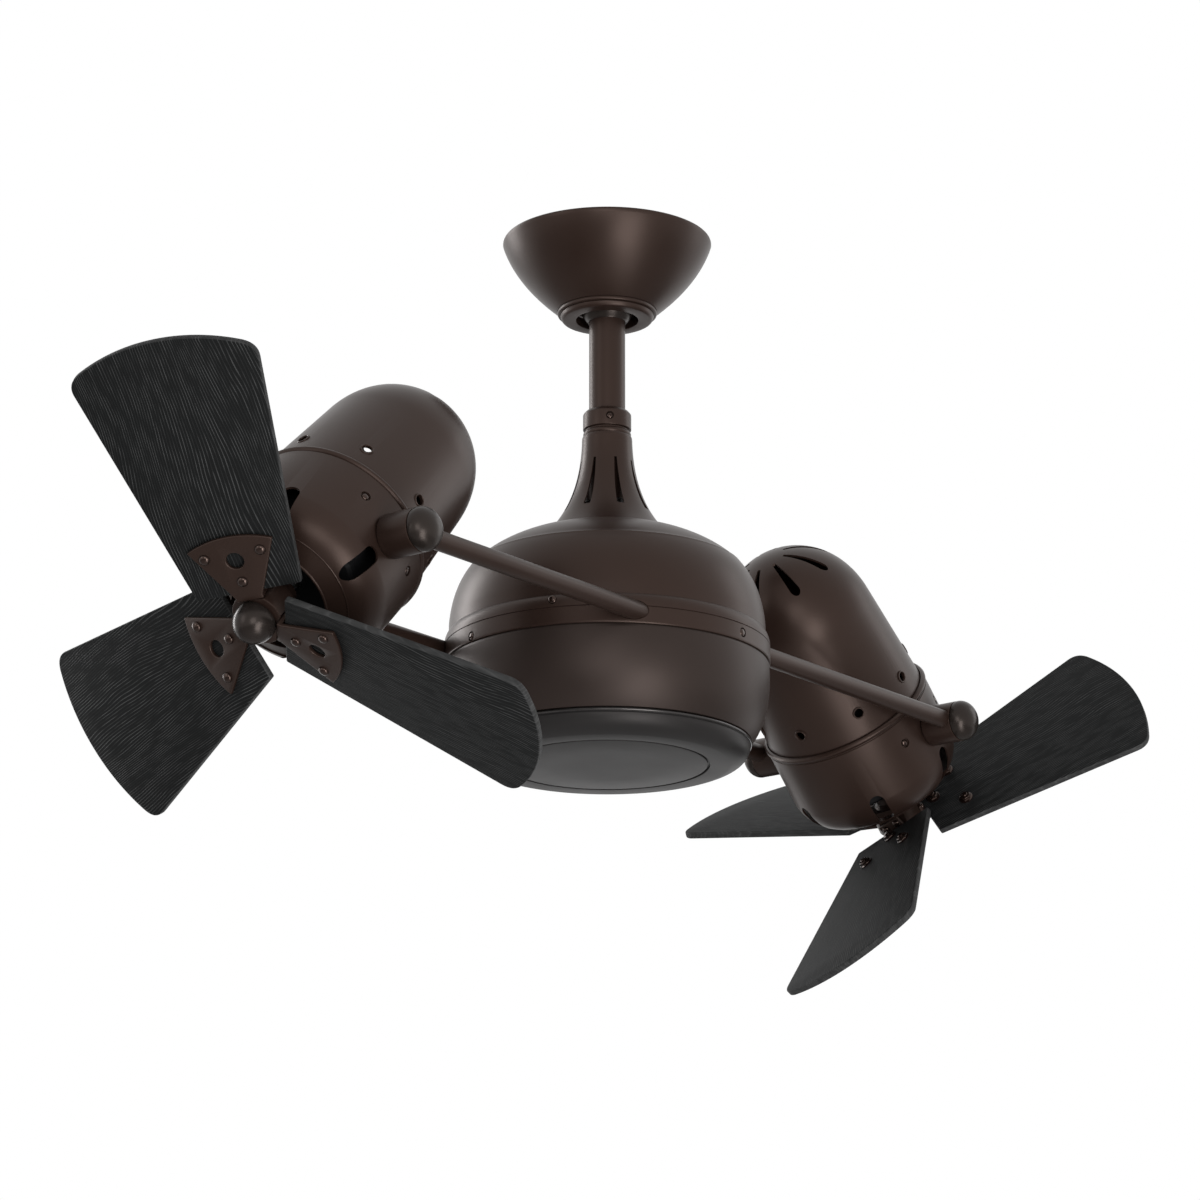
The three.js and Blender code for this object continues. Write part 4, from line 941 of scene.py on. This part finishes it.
def camera():
    """Camera of the photograph: below the fan, looking up at it, with a long lens.

    The middle of the arms' plane lands on AIM_PIXEL.
    """
    azimuth, elevation = PHOTO_AZIMUTH, PHOTO_ELEVATION
    focal, size = PHOTO_FOCAL, PHOTO_SIZE
    aim = Vector((0, 0, ARM_PLANE * MM))
    back = Vector((math.sin(azimuth) * math.cos(elevation), -math.cos(azimuth) * math.cos(elevation),
                   math.sin(elevation)))
    right = Vector((math.cos(azimuth), math.sin(azimuth), 0))
    up = right.cross(-back)
    x, y = (AIM_PIXEL[0] - size / 2) / focal, -(AIM_PIXEL[1] - size / 2) / focal
    yaw = math.atan(x)
    pitch = math.atan(y * math.cos(yaw))
    forward = -back * math.cos(yaw) - right * math.sin(yaw)
    right = right * math.cos(yaw) + (-back) * math.sin(yaw)
    ahead = forward * math.cos(pitch) - up * math.sin(pitch)
    above = up * math.cos(pitch) + forward * math.sin(pitch)
    data = bpy.data.cameras.new("photo_camera")
    data.lens, data.sensor_width = focal * 36 / size, 36
    obj = bpy.data.objects.new("photo_camera", data)
    turn = Matrix((right, above, -ahead)).transposed().to_4x4()
    obj.matrix_world = Matrix.Translation(aim + back * PHOTO_DISTANCE) @ turn
    bpy.context.scene.collection.objects.link(obj)
    bpy.context.scene.camera = obj
    return back, right, up


def soft_light(name, place, target, size, power):
    data = bpy.data.lights.new(name, "AREA")
    data.shape, data.size, data.size_y, data.energy = "RECTANGLE", size[0], size[1], power
    obj = bpy.data.objects.new(name, data)
    bpy.context.scene.collection.objects.link(obj)
    direction = Vector(target) - Vector(place)
    turn = direction.to_track_quat("-Z", "Y").to_matrix().to_4x4()
    obj.matrix_world = Matrix.Translation(place) @ turn


def white_to_the_eye(tree):
    """Light Path factor that is 1 for camera, glossy and transmission rays."""
    path = tree.nodes.new("ShaderNodeLightPath")
    seen = math_node(tree, "MAXIMUM", (path, "Is Camera Ray"), (path, "Is Glossy Ray"))
    seen = math_node(tree, "MAXIMUM", (seen, "Value"), (path, "Is Transmission Ray"))
    return seen


WORLD_LEVEL = 0.42
FLOOR_HEIGHT = -2.6
FLOOR_COLOUR = (0.65, 0.65, 0.65, 1)
LAMPS = {  # metres to the right, towards the camera and up from the fan's middle; size; watts
    "left_rim": ((-2.2, -1.6, 0.4), (0.8, 1.8), 29),
    "left_window": ((-2.2, 1.5, 1.0), (0.9, 1.3), 6),
    "right_window": ((2.3, -1.2, 0.5), (0.8, 1.8), 6),
    "front_soft": ((-0.1, 2.8, 0.65), (1.2, 1.2), 16),
    "low_soft": ((1.05, 2.4, -0.65), (1.2, 1.7), 46),
    "under_soft": ((0.9, 1.7, -1.7), (1.2, 1.2), 12),
}


def world(level):
    scene_world = bpy.data.worlds.new("studio")
    bpy.context.scene.world = scene_world
    scene_world.use_nodes = True
    tree = scene_world.node_tree
    tree.nodes.clear()
    seen = white_to_the_eye(tree)
    out = tree.nodes.new("ShaderNodeOutputWorld")
    soft, white = tree.nodes.new("ShaderNodeBackground"), tree.nodes.new("ShaderNodeBackground")
    soft.inputs["Color"].default_value = (1, 1, 1, 1)
    soft.inputs["Strength"].default_value = level
    white.inputs["Color"].default_value = (1, 1, 1, 1)
    white.inputs["Strength"].default_value = 1
    mix = tree.nodes.new("ShaderNodeMixShader")
    link(tree, seen, "Value", mix, 0)
    link(tree, soft, "Background", mix, 1)
    link(tree, white, "Background", mix, 2)
    link(tree, mix, "Shader", out, "Surface")


def floor():
    """Plain pale floor, well under the fan."""
    material, tree, shader = node_tree("floor")
    shader.inputs["Base Color"].default_value = FLOOR_COLOUR
    shader.inputs["Roughness"].default_value = 0.9
    place = tree.nodes.new("ShaderNodeTexCoord")
    noise = texture(tree, "ShaderNodeTexNoise", (place, "Object"), Scale=3.0)
    add_bump(tree, shader, (noise, "Fac"), 0.05, 0.001)
    work = bmesh.new()
    bmesh.ops.create_grid(work, x_segments=4, y_segments=4, size=6)
    obj = bpy.data.objects.new("floor", to_mesh(work))
    obj.data.materials.append(material)
    obj.location = (0, 0, FLOOR_HEIGHT)
    bpy.context.scene.collection.objects.link(obj)


def studio(back, right, up):
    world(WORLD_LEVEL)
    floor()
    for name, ((x, y, z), size, power) in LAMPS.items():
        place = FAN_CENTRE + right * x + back * y + up * z
        soft_light(name, place, FAN_CENTRE, size, power)


# ---------------------------------------------------------------- assembly

def cad_looks():
    """Finish of the solids that show as they are."""
    slot_of = {row["node"]: row["material_slot"] for row in frame["record"]["subparts"]}
    for node, obj in frame["nodes"].items():
        obj.data.materials.clear()
        obj.data.materials.append(SLOTS[slot_of[node]])


bpy.context.scene.view_settings.view_transform = "Standard"
cad_looks()
studio(*camera())
canopy()
trim_ring()
rod_and_ball()
coupling()
bell()
dome()
bowl()
bottom_pan()
carrier()
for x, side in ((-1, "left"), (1, "right")):
    for y, end in ((-1, "front"), (1, "rear")):
        arm(x, y, f"{side}_{end}")
for name, (side, tilt, clock) in HEADS.items():
    head(name, side, tilt, clock)
